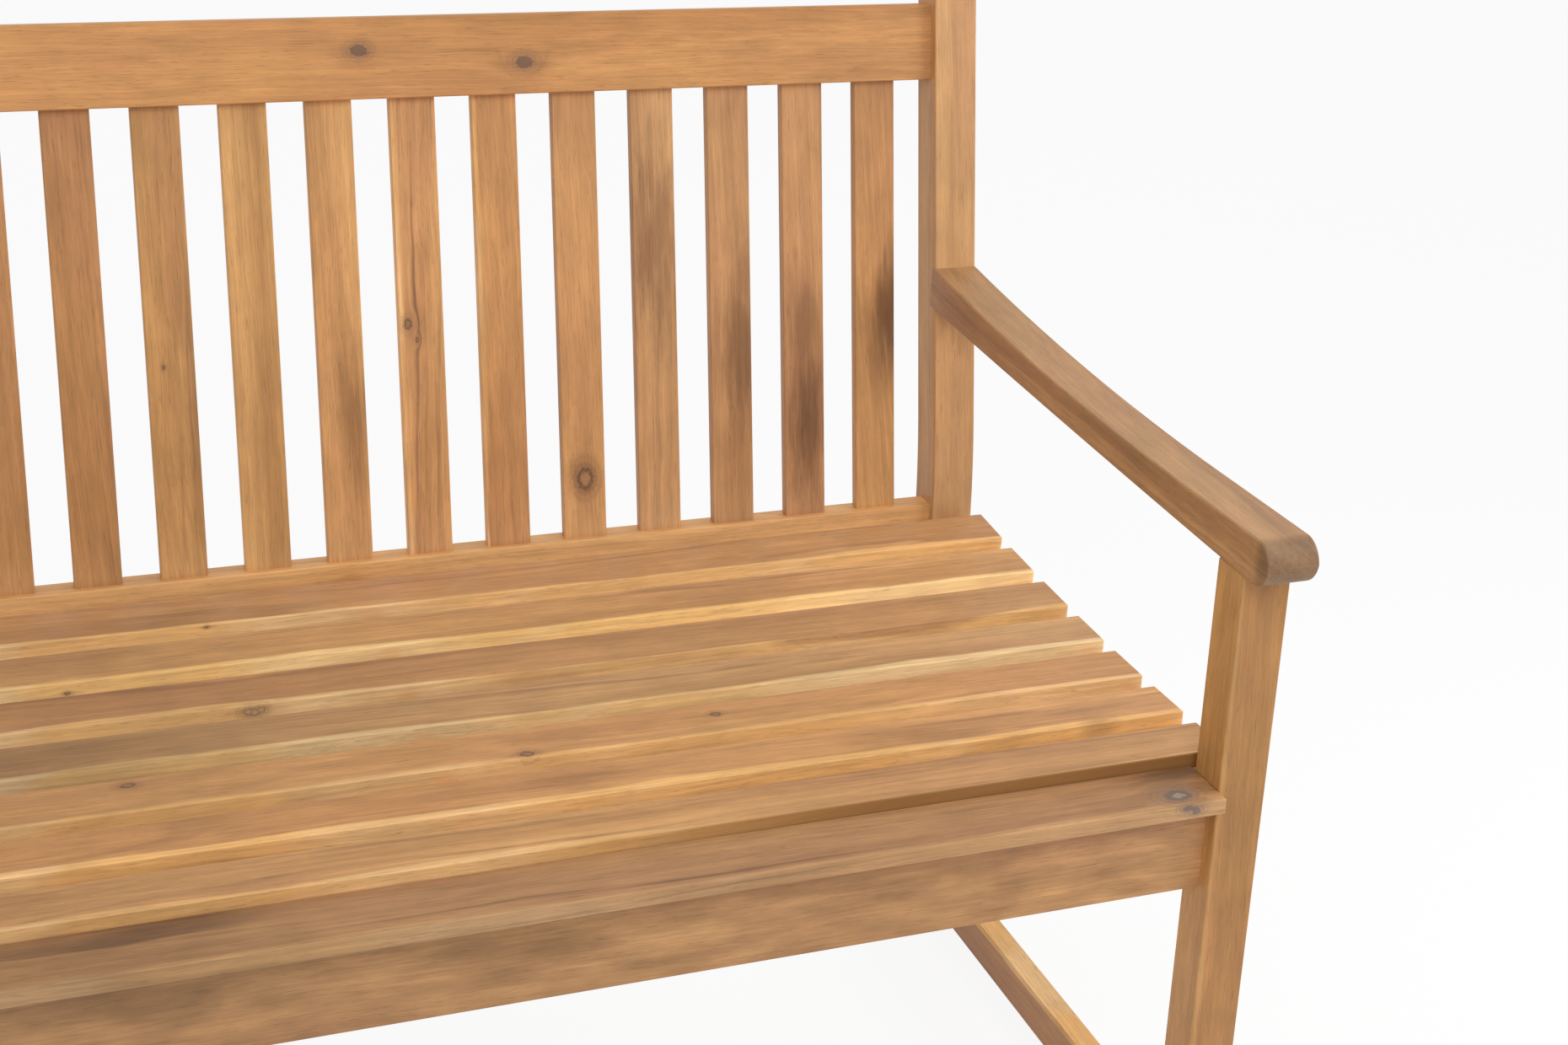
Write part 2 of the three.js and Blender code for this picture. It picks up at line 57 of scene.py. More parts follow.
# The solids' own sizes, in metres. A depth is measured back from the front legs' faces, a rise up the
# rake from the posts' bend, and an inset from the posts' front face, square to the rake.
SIDES = ((-1, "left"), (1, "right"))
RAKE = math.radians(8.6)
JOINT_GAP = 0.0003
TENON = 0.004
RAIL_INTO_POST = 0.0015
APRON_INTO_LEG = 0.002

INNER_WIDTH = 1.0775
LEG_WIDTH = 0.040
LEG_CENTRE = INNER_WIDTH / 2 + LEG_WIDTH / 2
FRONT_LEG_DEPTH = 0.036
LEG_INTO_ARM = 0.0008
POST_FACE = 0.5355
POST_DEPTH = 0.040
POST_ABOVE_RAIL = 0.025
BEND_HEIGHT = 0.474
BEND_BLEND = 0.055

ARM_WIDTH = 0.042
ARM_THICKNESS = 0.035
ARM_TOP = 0.639
ARM_TOP_RISE = 0.029
ARM_LEVEL_DEPTH = 0.110
ARM_UNDER_RISE = 0.0265
ARM_UNDER_SAG = 0.0014
ARM_NOSE_REACH = 0.031
ARM_REAR = POST_FACE + (ARM_TOP + ARM_TOP_RISE - BEND_HEIGHT) * math.tan(RAKE)

ROCKER_RADIUS = 1.6
ROCKER_DEPTH = 0.033
ROCKER_THICKNESS = 0.022
ROCKER_CONTACT = 0.350
ROCKER_FACET = 0.034
ROCKER_FACETS_EACH_WAY = 12.495
ROCKER_HALF_SWEEP = ROCKER_FACETS_EACH_WAY * ROCKER_FACET / ROCKER_RADIUS

RAIL_THICKNESS = 0.022
STRETCHER_HEIGHT = 0.062
STRETCHER_DEPTH = 0.038
BEARER_DEPTH = 0.060
BEARER_EDGE = 0.002
BEARER_TAIL_SLOPE = 0.28
SUPPORT_FRONT = 0.0400
SUPPORT_REAR = 0.5475

SEAT_LOW_HEIGHT = 0.437
SEAT_LOW_DEPTH = 0.190
SEAT_REAR = 0.4970
DISH_RADIUS = 3.45
SEAT_SLAT_WIDTH = 0.048
SEAT_SLAT_THICKNESS = 0.0125

TOP_RAIL_RISE = 0.367
TOP_RAIL_WIDTH = 0.067
TOP_RAIL_THICKNESS = 0.024
TOP_RAIL_INSET = 0.010
LOWER_RAIL_TOP = 0.445
SLAT_COUNT = 15
SLAT_WIDTH = 0.0385
SLAT_THICKNESS = 0.010
SLAT_INSET = 0.018
SLAT_END_GAP = 0.033
SLAT_HOUSING = 0.010

BOLT_HEAD_RADIUS = 0.007
BOLT_HEAD_HEIGHT = 0.005
BOLT_SHANK_RADIUS = 0.003
ARM_BOLT_LENGTH = 0.078
ARM_BOLT_INSET = 0.0453
NUT_HALF_WIDTH = 0.006
NUT_FACE_RADIUS = 0.0061
NUT_HOLE_RADIUS = 0.0033
NUT_HEIGHT = 0.006
NUT_EASE = 0.0005

# What the boards' surfaces go by: the points round a corner, how far past a soft end the faces are
# flat, the least half width and corner radius, and the most of a half that a corner takes. A rounded
# nose stops just short of its quarter turn.
X, Y, Z = (1.0, 0.0, 0.0), (0.0, 1.0, 0.0), (0.0, 0.0, 1.0)
CORNER_STEPS = 5
FLAT_MARGIN = 0.001
LEAST_HALF = 0.0003
LEAST_CORNER = 0.0002
CORNER_SHARE = 0.95
NOSE_TURN = 0.985 * math.pi / 2

# A log's length, a knot and a smudge that lie off their board, and end grain that starts past its end
LOG_LENGTH = 40.0
NO_KNOT = (-9.0, 0.0, 0.0, 0.01)
NO_SMUDGE = (-9.0, 0.0, 0.01, 0.0)
NO_END_GRAIN = 9.0
WHITE = (1.0, 1.0, 1.0)


# Shapes


def along_y(depth):
    """A depth behind the front legs' faces, as a place along Y: the rockers touch the floor at Y zero."""
    return depth - ROCKER_CONTACT


def side_path(x, depth, height):
    """Places in one upright plane across X, from depths and heights."""
    return np.stack([np.full(len(depth), x), along_y(depth), height], axis=1)


def raked(across, inset, rise):
    """A place in the back: the bend's place, plus the inset along the direction square to the rake,
    plus the rise along the rake."""
    y = POST_FACE + inset * math.cos(RAKE) + rise * math.sin(RAKE)
    z = BEND_HEIGHT - inset * math.sin(RAKE) + rise * math.cos(RAKE)
    return np.array([across, along_y(y), z])


def unit(vectors):
    """Each vector divided by its own length."""
    return vectors / np.linalg.norm(vectors, axis=-1, keepdims=True)


def follow(stations, values, places):
    """Values given at stations, read off in straight lines at the places between them."""
    values = np.asarray(values, float)
    if values.ndim == 1:
        return np.interp(places, stations, values)
    return np.stack([np.interp(places, stations, column) for column in values.T], axis=1)


def rounded_section():
    """Four quarter turns about a rectangle's corners: a corner's signs, and the turn's cosine and sine."""
    start = np.arange(4)[:, None] * math.pi / 2
    angle = (start + np.linspace(0.0, math.pi / 2, CORNER_STEPS)[None, :]).ravel()
    corner = (start + math.pi / 4).repeat(CORNER_STEPS, axis=1).ravel()
    signs = np.sign(np.stack([np.cos(corner), np.sin(corner)], axis=1))
    return signs, np.stack([np.cos(angle), np.sin(angle)], axis=1)


def end_rings(length, edge, soft_start, soft_end):
    """Distances along a board and how far its section draws in there: at a soft end the section draws
    in by edge times one less the cosine of a quarter turn while the distance closes on the end by
    edge times the sine, and a last ring a little further in keeps the long faces flat."""
    turn = np.linspace(math.pi / 2, 0.0, CORNER_STEPS)
    soft = (np.append(edge * (1.0 - np.sin(turn)), edge + FLAT_MARGIN),
            np.append(edge * (1.0 - np.cos(turn)), 0.0))
    square = np.zeros(1), np.zeros(1)
    start_places, start_draws = soft if soft_start else square
    end_places, end_draws = soft if soft_end else square
    places = np.concatenate([start_places, (length - end_places)[::-1]])
    return places, np.concatenate([start_draws, end_draws[::-1]])


def ring_quads(rings, count, closed=False):
    """The points' numbers, ring by ring, and the four-sided faces between neighbouring rings. Where
    they are closed, the last ring is joined to the first."""
    index = np.arange(rings * count).reshape(rings, count)
    near, far = (index, np.roll(index, -1, axis=0)) if closed else (index[:-1], index[1:])
    quads = np.stack([near, np.roll(near, -1, axis=1), np.roll(far, -1, axis=1), far], axis=-1)
    return index, quads.reshape(-1, 4).tolist()


def board_surface(path, across, half_wide, half_thick, edge, through=None, soft=(True, True)):
    """A rounded rectangle carried along a path. At each place on the path the surface point is the
    path's point, plus its corner's half width less the edge radius plus the radius times the turn's
    cosine, along the across direction, plus the same with half thickness and sine along the through
    direction. Normals lie in the section, and lean along the path as far as the section changes.
    Returns the points, faces, normals, and each point's distance along and place in the section."""
    path = np.asarray(path, float)
    steps = np.linalg.norm(np.diff(path, axis=0), axis=1)
    stations = np.concatenate([[0.0], np.cumsum(steps)])
    length = stations[-1]
    places, draws = end_rings(length, edge, *soft)
    clear = 1e-6
    inner = stations[(stations > places[places < length / 2].max() + clear)
                     & (stations < places[places > length / 2].min() - clear)]
    draws = np.concatenate([draws, np.zeros(len(inner))])
    places = np.concatenate([places, inner])
    order = np.argsort(places, kind="stable")
    places, draws = places[order], draws[order]

    centre = follow(stations, path, places)
    across = unit(follow(stations, np.broadcast_to(across, path.shape), places))
    if through is None:
        tangent = unit(np.gradient(path, stations, axis=0))
        through = np.cross(tangent, np.broadcast_to(across[0], path.shape))
    through = unit(follow(stations, np.broadcast_to(through, path.shape), places))
    wide = follow(stations, np.broadcast_to(half_wide, stations.shape), places) - draws
    thick = follow(stations, np.broadcast_to(half_thick, stations.shape), places) - draws
    wide, thick = np.maximum(wide, LEAST_HALF), np.maximum(thick, LEAST_HALF)

    signs, turns = rounded_section()
    corner = np.minimum(np.maximum(edge - draws, LEAST_CORNER), CORNER_SHARE * np.minimum(wide, thick))
    u = signs[None, :, 0] * (wide - corner)[:, None] + corner[:, None] * turns[None, :, 0]
    v = signs[None, :, 1] * (thick - corner)[:, None] + corner[:, None] * turns[None, :, 1]
    points = centre[:, None, :] + u[..., None] * across[:, None, :] + v[..., None] * through[:, None, :]

    forward = np.cross(across, through)[:, None, :]
    flat_normal = turns[None, :, :1] * across[:, None, :] + turns[None, :, 1:] * through[:, None, :]
    change = np.gradient(points, axis=0)
    advance = np.sum(change * forward, axis=-1, keepdims=True)
    lean = np.sum(change * flat_normal, axis=-1, keepdims=True)
    normals = unit(flat_normal * np.maximum(advance, 1e-9) - lean * forward)
    if soft[0]:
        normals[0] = -forward[0]
    if soft[1]:
        normals[-1] = forward[-1]

    index, quads = ring_quads(*u.shape)
    caps = [index[0][::-1].tolist(), index[-1].tolist()]
    place = np.stack([np.broadcast_to(places[:, None], u.shape), u, v], axis=-1)
    return points.reshape(-1, 3), quads + caps, normals.reshape(-1, 3), place.reshape(-1, 3)


def straight(start, end, across, wide, thick, edge):
    """A straight board between two points, of full width and thickness."""
    return board_surface([start, end], across, wide / 2, thick / 2, edge)


def turned_surface(profile, segments=48):
    """A closed profile of radius and distance, turned about the Z axis: each point's place is its
    radius times the turn's cosine and sine, and its distance. Its two end points lie on the axis."""
    turn = np.linspace(0.0, 2 * math.pi, segments, endpoint=False)
    radius, distance = profile[1:-1, :1], profile[1:-1, 1:]
    x, y = radius * np.cos(turn), radius * np.sin(turn)
    points = np.stack([x, y, np.broadcast_to(distance, x.shape)], axis=-1).reshape(-1, 3)
    tips = [[0.0, 0.0, profile[0, 1]], [0.0, 0.0, profile[-1, 1]]]
    index, quads = ring_quads(len(radius), segments)
    first, last = len(points), len(points) + 1
    low = np.stack([np.full(segments, first), np.roll(index[0], -1), index[0]], axis=1)
    high = np.stack([np.full(segments, last), index[-1], np.roll(index[-1], -1)], axis=1)
    return np.concatenate([points, tips]), quads + low.tolist() + high.tolist()


# Objects


def new_object(name, points, faces, finish):
    """A mesh object at the origin, with its place in its points, and a finish found by its name."""
    mesh = bpy.data.meshes.new(name)
    mesh.from_pydata(points.tolist(), [], faces)
    mesh.validate()
    mesh.update()
    mesh.materials.append(bpy.data.materials[finish])
    piece = bpy.data.objects.new(name, mesh)
    bpy.context.collection.objects.link(piece)
    return piece


def store(mesh, name, values):
    """Keeps three numbers a point on a mesh, for its material to read."""
    layer = mesh.attributes.new(name, "FLOAT_VECTOR", "POINT")
    layer.data.foreach_set("vector", np.ascontiguousarray(values, dtype=np.float32).ravel())


def log_places(place, seed, depth, slope):
    """Where a board lay in its log: its own place, turned a little about its length, moved off the
    pith by a depth, and sloped against the pith so that the rings run out in tall arches."""
    chance = np.random.default_rng(seed)
    turn = chance.uniform(-0.5, 0.5)
    off = chance.uniform(-0.02, 0.02)
    s, u, v = place.T
    y = u * math.cos(turn) - v * math.sin(turn) + off + slope * s
    z = u * math.sin(turn) + v * math.cos(turn) + depth
    return np.stack([s + chance.uniform(0.0, LOG_LENGTH), y, z], axis=1)


def make_board(node, slot, surface, seed, tint=WHITE, sapwood=0.0, streaks=0.3, front=-0.024, depth=0.05,
               slope=0.03, knots=(), knot_look=(0.7, 0.0, 0.0), knot_rim=0.70, smudges_and_shadows=(),
               end_grain=NO_END_GRAIN, painted_face_shadow=(0.0, 1.0, 0.0), painted_light_lift=0.0, mottle=0.4):
    """One board in place of a solid. Its looks are its tint, how much sapwood it has and how strong its
    streaks and its mottling are, where its front edge is, its depth and slope in the log, up to three
    knots and two dark marks (smudges on most boards, and on the front slat a painted shadow beside the
    right front leg), how dark-hearted, grey and pale-hearted its knots are and how strong their rims,
    how far along it end grain starts, where a painted shadow on its front face starts and stops and how
    dark it is, and how much painted light makes it paler at its far end than at its near end. A knot is
    a distance along, place across, place through and radius, and a dark mark a distance along, place
    across, half length and strength."""
    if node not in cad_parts:
        raise RuntimeError(f"the frame has no solid named {node}")
    points, faces, normals, place = surface
    piece = new_object(f"board_{node}", points, faces, "oiled_wood")
    mesh = piece.data
    mesh.shade_smooth()
    mesh.normals_split_custom_set_from_vertices(normals.tolist())
    knot_one, knot_two, knot_three = (*knots, NO_KNOT, NO_KNOT, NO_KNOT)[:3]
    smudge_and_shadow_one, smudge_and_shadow_two = (*smudges_and_shadows, NO_SMUDGE, NO_SMUDGE)[:2]
    looks = {
        "tint": tint,
        "figure": (sapwood, streaks, front),
        "painted_light_mottle_rim": (painted_light_lift, mottle, knot_rim),
        "painted_face_shadow": painted_face_shadow,
        "knot_look": knot_look,
        "knot_sizes": (knot_one[3], knot_two[3], knot_three[3]),
        "knot_one": knot_one[:3],
        "knot_two": knot_two[:3],
        "knot_three": knot_three[:3],
        "smudge_and_shadow_look": (smudge_and_shadow_one[3], smudge_and_shadow_two[3], end_grain),
        "smudge_and_shadow_one": smudge_and_shadow_one[:3],
        "smudge_and_shadow_two": smudge_and_shadow_two[:3],
    }
    store(mesh, "log_place", log_places(place, seed, depth, slope))
    store(mesh, "board_place", place)
    for name, values in looks.items():
        store(mesh, name, np.tile(values, (len(points), 1)))
    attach(piece, "root")
    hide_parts(node)


# Finishes


class Graph:
    """Adds nodes to a material or world and joins them up."""

    def __init__(self, tree):
        self.tree = tree
        tree.nodes.clear()

    def feed(self, socket, value):
        """Links a socket to another node's output, or sets it to a number, a vector or a colour."""
        if isinstance(value, bpy.types.NodeSocket):
            self.tree.links.new(value, socket)
        elif socket.type == "RGBA":
            socket.default_value = (*value, 1.0)
        else:
            socket.default_value = value

    def add(self, kind, inputs=None, **options):
        """A new node, with values or links for its inputs by name or number."""
        made = self.tree.nodes.new(kind)
        for key, value in options.items():
            setattr(made, key, value)
        for key, value in (inputs or {}).items():
            self.feed(made.inputs[key], value)
        return made

    def maths(self, operation, first, second=0.0, third=0.0):
        """One sum of numbers."""
        return self.add("ShaderNodeMath", {0: first, 1: second, 2: third}, operation=operation).outputs[0]

    def times(self, first, second):
        """A product."""
        return self.maths("MULTIPLY", first, second)

    def times_plus(self, first, second, third):
        """A product with a third number added."""
        return self.maths("MULTIPLY_ADD", first, second, third)

    def swing(self, value, amount, middle=1.0):
        """How far a value is from a half, times an amount, added to a middle."""
        return self.times_plus(self.maths("SUBTRACT", value, 0.5), amount, middle)

    def vector(self, operation, first, second):
        """One sum of vectors."""
        return self.add("ShaderNodeVectorMath", {0: first, 1: second}, operation=operation).outputs["Vector"]

    def length(self, vector, weights):
        """A vector's length, once its three parts are weighted."""
        weighted = self.vector("MULTIPLY", vector, weights)
        return self.add("ShaderNodeVectorMath", {0: weighted}, operation="LENGTH").outputs["Value"]

    def attribute(self, name):
        """The three numbers that a piece's points hold under a name."""
        return self.add("ShaderNodeAttribute", attribute_name=name).outputs["Vector"]

    def split(self, vector):
        """A vector's three parts."""
        return list(self.add("ShaderNodeSeparateXYZ", {"Vector": vector}).outputs)

    def join(self, x, y, z):
        """A vector of three parts."""
        return self.add("ShaderNodeCombineXYZ", {"X": x, "Y": y, "Z": z}).outputs[0]

    def noise(self, vector, along, across, detail=2.0, roughness=0.5, output="Fac"):
        """Noise with so many cells in a metre along a board, and so many across it."""
        stretched = self.vector("MULTIPLY", vector, (along, across, across))
        inputs = {"Vector": stretched, "Scale": 1.0, "Detail": detail, "Roughness": roughness}
        return self.add("ShaderNodeTexNoise", inputs).outputs[output]

    def ramp(self, value, low, high, start=0.0, end=1.0, smooth=True):
        """A value carried from a low and high mark to a start and end, and held beyond them."""
        inputs = {"Value": value, "From Min": low, "From Max": high, "To Min": start, "To Max": end}
        shape = "SMOOTHSTEP" if smooth else "LINEAR"
        return self.add("ShaderNodeMapRange", inputs, interpolation_type=shape).outputs["Result"]

    def mix(self, share, first, second, blend="MIX"):
        """A share of the second colour in the first."""
        inputs = {0: share, 6: first, 7: second}
        return self.add("ShaderNodeMix", inputs, data_type="RGBA", blend_type=blend).outputs[2]

    def finish(self, shader):
        """Gives the material a shader for its surface."""
        self.add("ShaderNodeOutputMaterial", {"Surface": shader.outputs[0]})


def new_finish(name):
    """The graph that fills a new material."""
    material = bpy.data.materials.new(name)
    material.use_nodes = True
    return Graph(material.node_tree)


def knot_masks(graph, place, name, size):
    """A knot's heart, its dark rim, the arcs and dusk round it, how far the grain bends round it, and the
    smoke that trails from it along the board. Each is a ramp on the distance from the knot's middle
    over its radius, made ragged by noise, with distances along the board counted shorter."""
    offset = graph.vector("SUBTRACT", place, graph.attribute(name))
    ragged = graph.noise(place, 260.0, 420.0, 3.0, 0.65)
    near = graph.maths("DIVIDE", graph.length(offset, (0.7, 1.0, 1.0)), size)
    near = graph.swing(ragged, 1.1, near)
    heart = graph.ramp(near, 0.8, 0.35)
    rim = graph.times(graph.ramp(near, 0.25, 0.7), graph.ramp(near, 1.15, 0.75))
    wave = graph.ramp(graph.maths("SINE", graph.times(near, 11.0)), 0.1, 0.9)
    arcs = graph.times(graph.ramp(near, 2.7, 1.2), graph.times_plus(wave, 0.75, 0.45))
    bend = graph.maths("POWER", graph.ramp(near, 4.5, 0.6), 2.0)
    swell = graph.times(bend, graph.times(size, 1.4))
    trail = graph.maths("DIVIDE", graph.length(offset, (0.17, 1.0, 1.0)), size)
    smoke = graph.ramp(trail, 1.7, 0.1)
    return heart, rim, arcs, swell, smoke


def smudge_and_shadow_mask(graph, place, name, strength):
    """A dark brown mark drawn out along the board, with feathered ends: a smudge on most boards, and on
    the front slat a painted shadow beside the right front leg. It is a ramp on the distance from its
    middle over its half length, with distances across the board counted longer."""
    centre = graph.attribute(name)
    feather = graph.noise(place, 22.0, 170.0, 3.0, 0.6)
    away = graph.length(graph.vector("SUBTRACT", place, centre), (1.0, 3.4, 0.0))
    near = graph.swing(feather, 1.1, graph.maths("DIVIDE", away, graph.split(centre)[2]))
    return graph.times(graph.ramp(near, 1.15, 0.15), strength)


def make_wood(settings):
    """Oiled hardwood: faint growth rings round a pith, heartwood bands that follow them, fibres and
    pores drawn out along the board, cloudy figure, sapwood, smudges and knots, and painted light and
    shadow: boards paler towards their far ends, a painted shadow on the first seat slat's front face and
    one beside the right front leg."""
    graph = new_finish("oiled_wood")
    log = graph.attribute("log_place")
    place = graph.attribute("board_place")
    distance, across = graph.split(place)[:2]
    sapwood, streaks, front_edge = graph.split(graph.attribute("figure"))
    painted_light_lift, mottling, knot_rim = graph.split(graph.attribute("painted_light_mottle_rim"))
    shadow_from, shadow_to, painted_face_shadow = graph.split(graph.attribute("painted_face_shadow"))
    dark_heart, grey, pale_heart = graph.split(graph.attribute("knot_look"))
    strength_one, strength_two, end_from = graph.split(graph.attribute("smudge_and_shadow_look"))
    knot_names = ("knot_one", "knot_two", "knot_three")
    knot_sizes = graph.split(graph.attribute("knot_sizes"))

    # The log's rings sway and ripple across the grain, and swell round the knots
    moved = log
    for cells_along, cells_across, reach in ((1.7, 8.0, 0.034), (11.0, 55.0, 0.0045)):
        drift = graph.noise(log, cells_along, cells_across, output="Color")
        drift = graph.vector("SUBTRACT", drift, (0.5, 0.5, 0.5))
        moved = graph.vector("ADD", moved, graph.vector("MULTIPLY", drift, (0.0, reach, reach)))
    marks = [knot_masks(graph, place, name, size) for name, size in zip(knot_names, knot_sizes)]
    heart, rim, arcs, swell, smoke = (
        graph.maths("MAXIMUM", graph.maths("MAXIMUM", one, two), three) for one, two, three in zip(*marks))
    radius = graph.maths("ADD", graph.length(moved, (0.0, 1.0, 1.0)), swell)
    ring = graph.maths("FRACT", graph.maths("DIVIDE", radius, settings.ring_spacing))
    late_wood = graph.times(graph.ramp(ring, 0.2, 0.85), graph.ramp(ring, 1.0, 0.88))

    # Bands and streaks change with the ring, and the others with the place in the log or board
    along_log = graph.split(moved)[0]
    band = graph.noise(graph.join(along_log, graph.times(radius, 48.0), 3.0), 0.9, 1.0, 3.0)
    streak = graph.noise(graph.join(along_log, graph.times(radius, 150.0), 11.0), 1.6, 1.0)
    fibre = graph.noise(moved, 11.0, 640.0, 3.0, 0.6)
    grain = graph.noise(moved, 7.0, 240.0, 4.0, 0.7)
    pores = graph.noise(moved, 60.0, 1500.0, 1.0)
    cloud = graph.noise(place, 6.0, 12.0)
    mottle = graph.noise(log, 24.0, 60.0, 3.0)
    blush = graph.noise(log, 3.2, 17.0)
    waver = graph.noise(log, 4.0, 26.0, 3.0)

    # Heartwood, and sapwood along the front edge that turns creamier in clouds and under the painted light
    colour = graph.mix(graph.ramp(band, 0.3, 0.72), settings.honey, settings.brown)
    colour = graph.mix(graph.ramp(blush, 0.42, 0.72, 0.0, 0.5), colour, settings.rose)
    colour = graph.mix(graph.times(graph.ramp(streak, 0.57, 0.72), streaks), colour, settings.umber)
    inward = graph.maths("SUBTRACT", across, front_edge)
    wavering = graph.swing(waver, graph.times_plus(sapwood, 0.016, 0.008), inward)
    # Painted light: each board grows paler towards its far end, as though lit more from the right
    painted_light_gradient = graph.times(graph.ramp(distance, 0.20, 1.05, -0.5, 0.5, smooth=False), painted_light_lift)
    creamy = graph.maths("MAXIMUM", graph.ramp(cloud, 0.50, 0.66), graph.ramp(painted_light_gradient, 0.08, 0.16))
    edge_wood = graph.mix(creamy, settings.pale, settings.cream)
    colour = graph.mix(graph.times(graph.ramp(wavering, 0.0052, 0.0018), sapwood), colour, edge_wood)

    shade = graph.times_plus(late_wood, -0.055, 1.02)
    for factor in (
        graph.swing(fibre, 0.50),
        graph.swing(grain, graph.times_plus(streaks, 0.5, 0.34)),
        graph.ramp(pores, 0.60, 0.74, 1.0, 0.76),
        graph.swing(cloud, 0.36),
        graph.swing(mottle, mottling),
        graph.maths("ADD", painted_light_gradient, 1.0),
    ):
        shade = graph.times(shade, factor)
    colour = graph.vector("MULTIPLY", colour, graph.attribute("tint"))
    colour = graph.vector("MULTIPLY", colour, graph.join(shade, shade, shade))

    # Smudges and the painted shadow beside the front leg, then each knot's smoke, arcs, rim and heart
    smudge_and_shadow = graph.maths("MAXIMUM", smudge_and_shadow_mask(graph, place, "smudge_and_shadow_one", strength_one),
                         smudge_and_shadow_mask(graph, place, "smudge_and_shadow_two", strength_two))
    colour = graph.mix(smudge_and_shadow, colour, settings.smudge_and_shadow, "MULTIPLY")
    colour = graph.mix(graph.times(smoke, 0.3), colour, settings.umber)
    dusky = graph.mix(grey, settings.umber, settings.slate)
    colour = graph.mix(graph.times(arcs, 0.42), colour, dusky)
    deep = graph.mix(grey, settings.dark, settings.slate)
    centre = graph.mix(dark_heart, settings.knot, deep)
    centre = graph.mix(graph.times(graph.ramp(heart, 0.95, 1.0), pale_heart), centre, settings.ash)
    colour = graph.mix(graph.times(rim, knot_rim), colour, deep)
    colour = graph.mix(graph.times(heart, 0.8), colour, centre)

    # End grain, and a painted shadow on the first seat slat's front face, darkening from the middle towards
    # its right end
    past_end = graph.maths("SUBTRACT", distance, end_from)
    colour = graph.mix(graph.ramp(past_end, 0.0, 0.012), colour, settings.end_grain, "MULTIPLY")
    shadow_along = graph.ramp(distance, shadow_from, shadow_to, smooth=False)
    face = graph.times(graph.ramp(inward, 0.0014, 0.0003, 0.0, painted_face_shadow), shadow_along)
    colour = graph.mix(face, colour, settings.painted_shadow)

    relief = graph.times_plus(fibre, 0.5, graph.ramp(pores, 0.62, 0.74, 0.0, -0.6))
    relief = graph.times_plus(rim, -0.8, relief)
    bump = graph.add("ShaderNodeBump", {"Height": relief, "Strength": 0.3, "Distance": 0.0005})
    rough = graph.swing(fibre, 0.16, settings.roughness)
    graph.finish(graph.add(
        "ShaderNodeBsdfPrincipled",
        {"Base Color": colour, "Roughness": rough, "Normal": bump.outputs[0], "Specular IOR Level": 0.35}))


def make_steel(settings):
    """Zinc-plated steel: grey metal with a faint cloudy dullness."""
    graph = new_finish("plated_steel")
    place = graph.add("ShaderNodeTexCoord").outputs["Object"]
    cloud = graph.noise(place, 420.0, 420.0, 3.0)
    colour = graph.mix(graph.ramp(cloud, 0.35, 0.7), settings.steel, settings.dull_steel)
    rough = graph.times_plus(cloud, 0.25, 0.24)
    graph.finish(graph.add(
        "ShaderNodeBsdfPrincipled", {"Base Color": colour, "Roughness": rough, "Metallic": 1.0}))


# Settings


def length_setting(name, description, default, least, most):
    """A length that can be changed in the sidebar."""
    return FloatProperty(
        name=name, description=description, default=default, min=least, max=most,
        subtype="DISTANCE", unit="LENGTH")


def share_setting(name, description, default):
    """A share from 0 to 1 that can be changed in the sidebar."""
    return FloatProperty(
        name=name, description=description, default=default, min=0.0, max=1.0, subtype="FACTOR")


def angle_setting(name, description, degrees):
    """An angle that can be changed in the sidebar."""
    return FloatProperty(
        name=name, description=description, default=math.radians(degrees), subtype="ANGLE")


def colour_setting(name, description, default):
    """A colour that can be changed in the sidebar."""
    return FloatVectorProperty(
        name=name, description=description, default=default, size=3, subtype="COLOR", min=0.0, max=1.0)


class BenchWoodSettings(bpy.types.PropertyGroup):
    """The boards' finish and edges, and the bolts' plating"""

    edge: length_setting(
        "Slat edge radius", "How far the slats', rails', apron's and stretchers' edges are rounded over",
        0.0012, 0.0005, 0.006)
    frame_edge: length_setting(
        "Frame edge radius", "How far the legs', posts' and rockers' edges are rounded over",
        0.0015, 0.0005, 0.008)
    arm_edge: length_setting(
        "Arm edge radius", "How far the armrests' long edges are rounded over", 0.0020, 0.0005, 0.010)
    ring_spacing: length_setting("Ring spacing", "Distance between two growth rings", 0.0052, 0.001, 0.02)
    roughness: share_setting("Roughness", "How matt the oiled wood is", 0.5)
    honey: colour_setting("Honey", "The main colour of the wood", (0.715, 0.380, 0.150))
    brown: colour_setting("Brown", "The heartwood bands", (0.510, 0.252, 0.096))
    rose: colour_setting("Rose", "The redder clouds", (0.560, 0.268, 0.122))
    umber: colour_setting("Umber", "The dark streaks and the smoke round knots", (0.300, 0.150, 0.068))
    # A painted shadow: the colour of the first seat slat's front face where it lies in shade
    painted_shadow: colour_setting("Shaded", "The dark front face of the first seat slat", (0.300, 0.140, 0.042))
    pale: colour_setting("Pale", "The sapwood along some edges", (1.000, 0.590, 0.215))
    cream: colour_setting("Cream", "The palest patches of the sapwood", (1.000, 0.670, 0.315))
    # Also the colour of the painted shadow beside the right front leg on the front slat
    smudge_and_shadow: colour_setting("Smudge", "What a smudge leaves of each colour", (0.420, 0.380, 0.380))
    end_grain: colour_setting("End grain", "What the arms' noses leave of each colour", (0.600, 0.640, 0.700))
    dark: colour_setting("Dark", "The rims and hearts of dark knots", (0.085, 0.045, 0.032))
    slate: colour_setting("Slate", "The grey of weathered knots", (0.165, 0.125, 0.110))
    ash: colour_setting("Ash", "The pale middle of some knots", (0.470, 0.415, 0.345))
    knot: colour_setting("Knot", "The hearts of lighter knots", (0.420, 0.210, 0.090))
    steel: colour_setting("Steel", "The bolts' plating", (0.56, 0.55, 0.52))
    dull_steel: colour_setting("Dull steel", "The plating's duller clouds", (0.42, 0.41, 0.39))


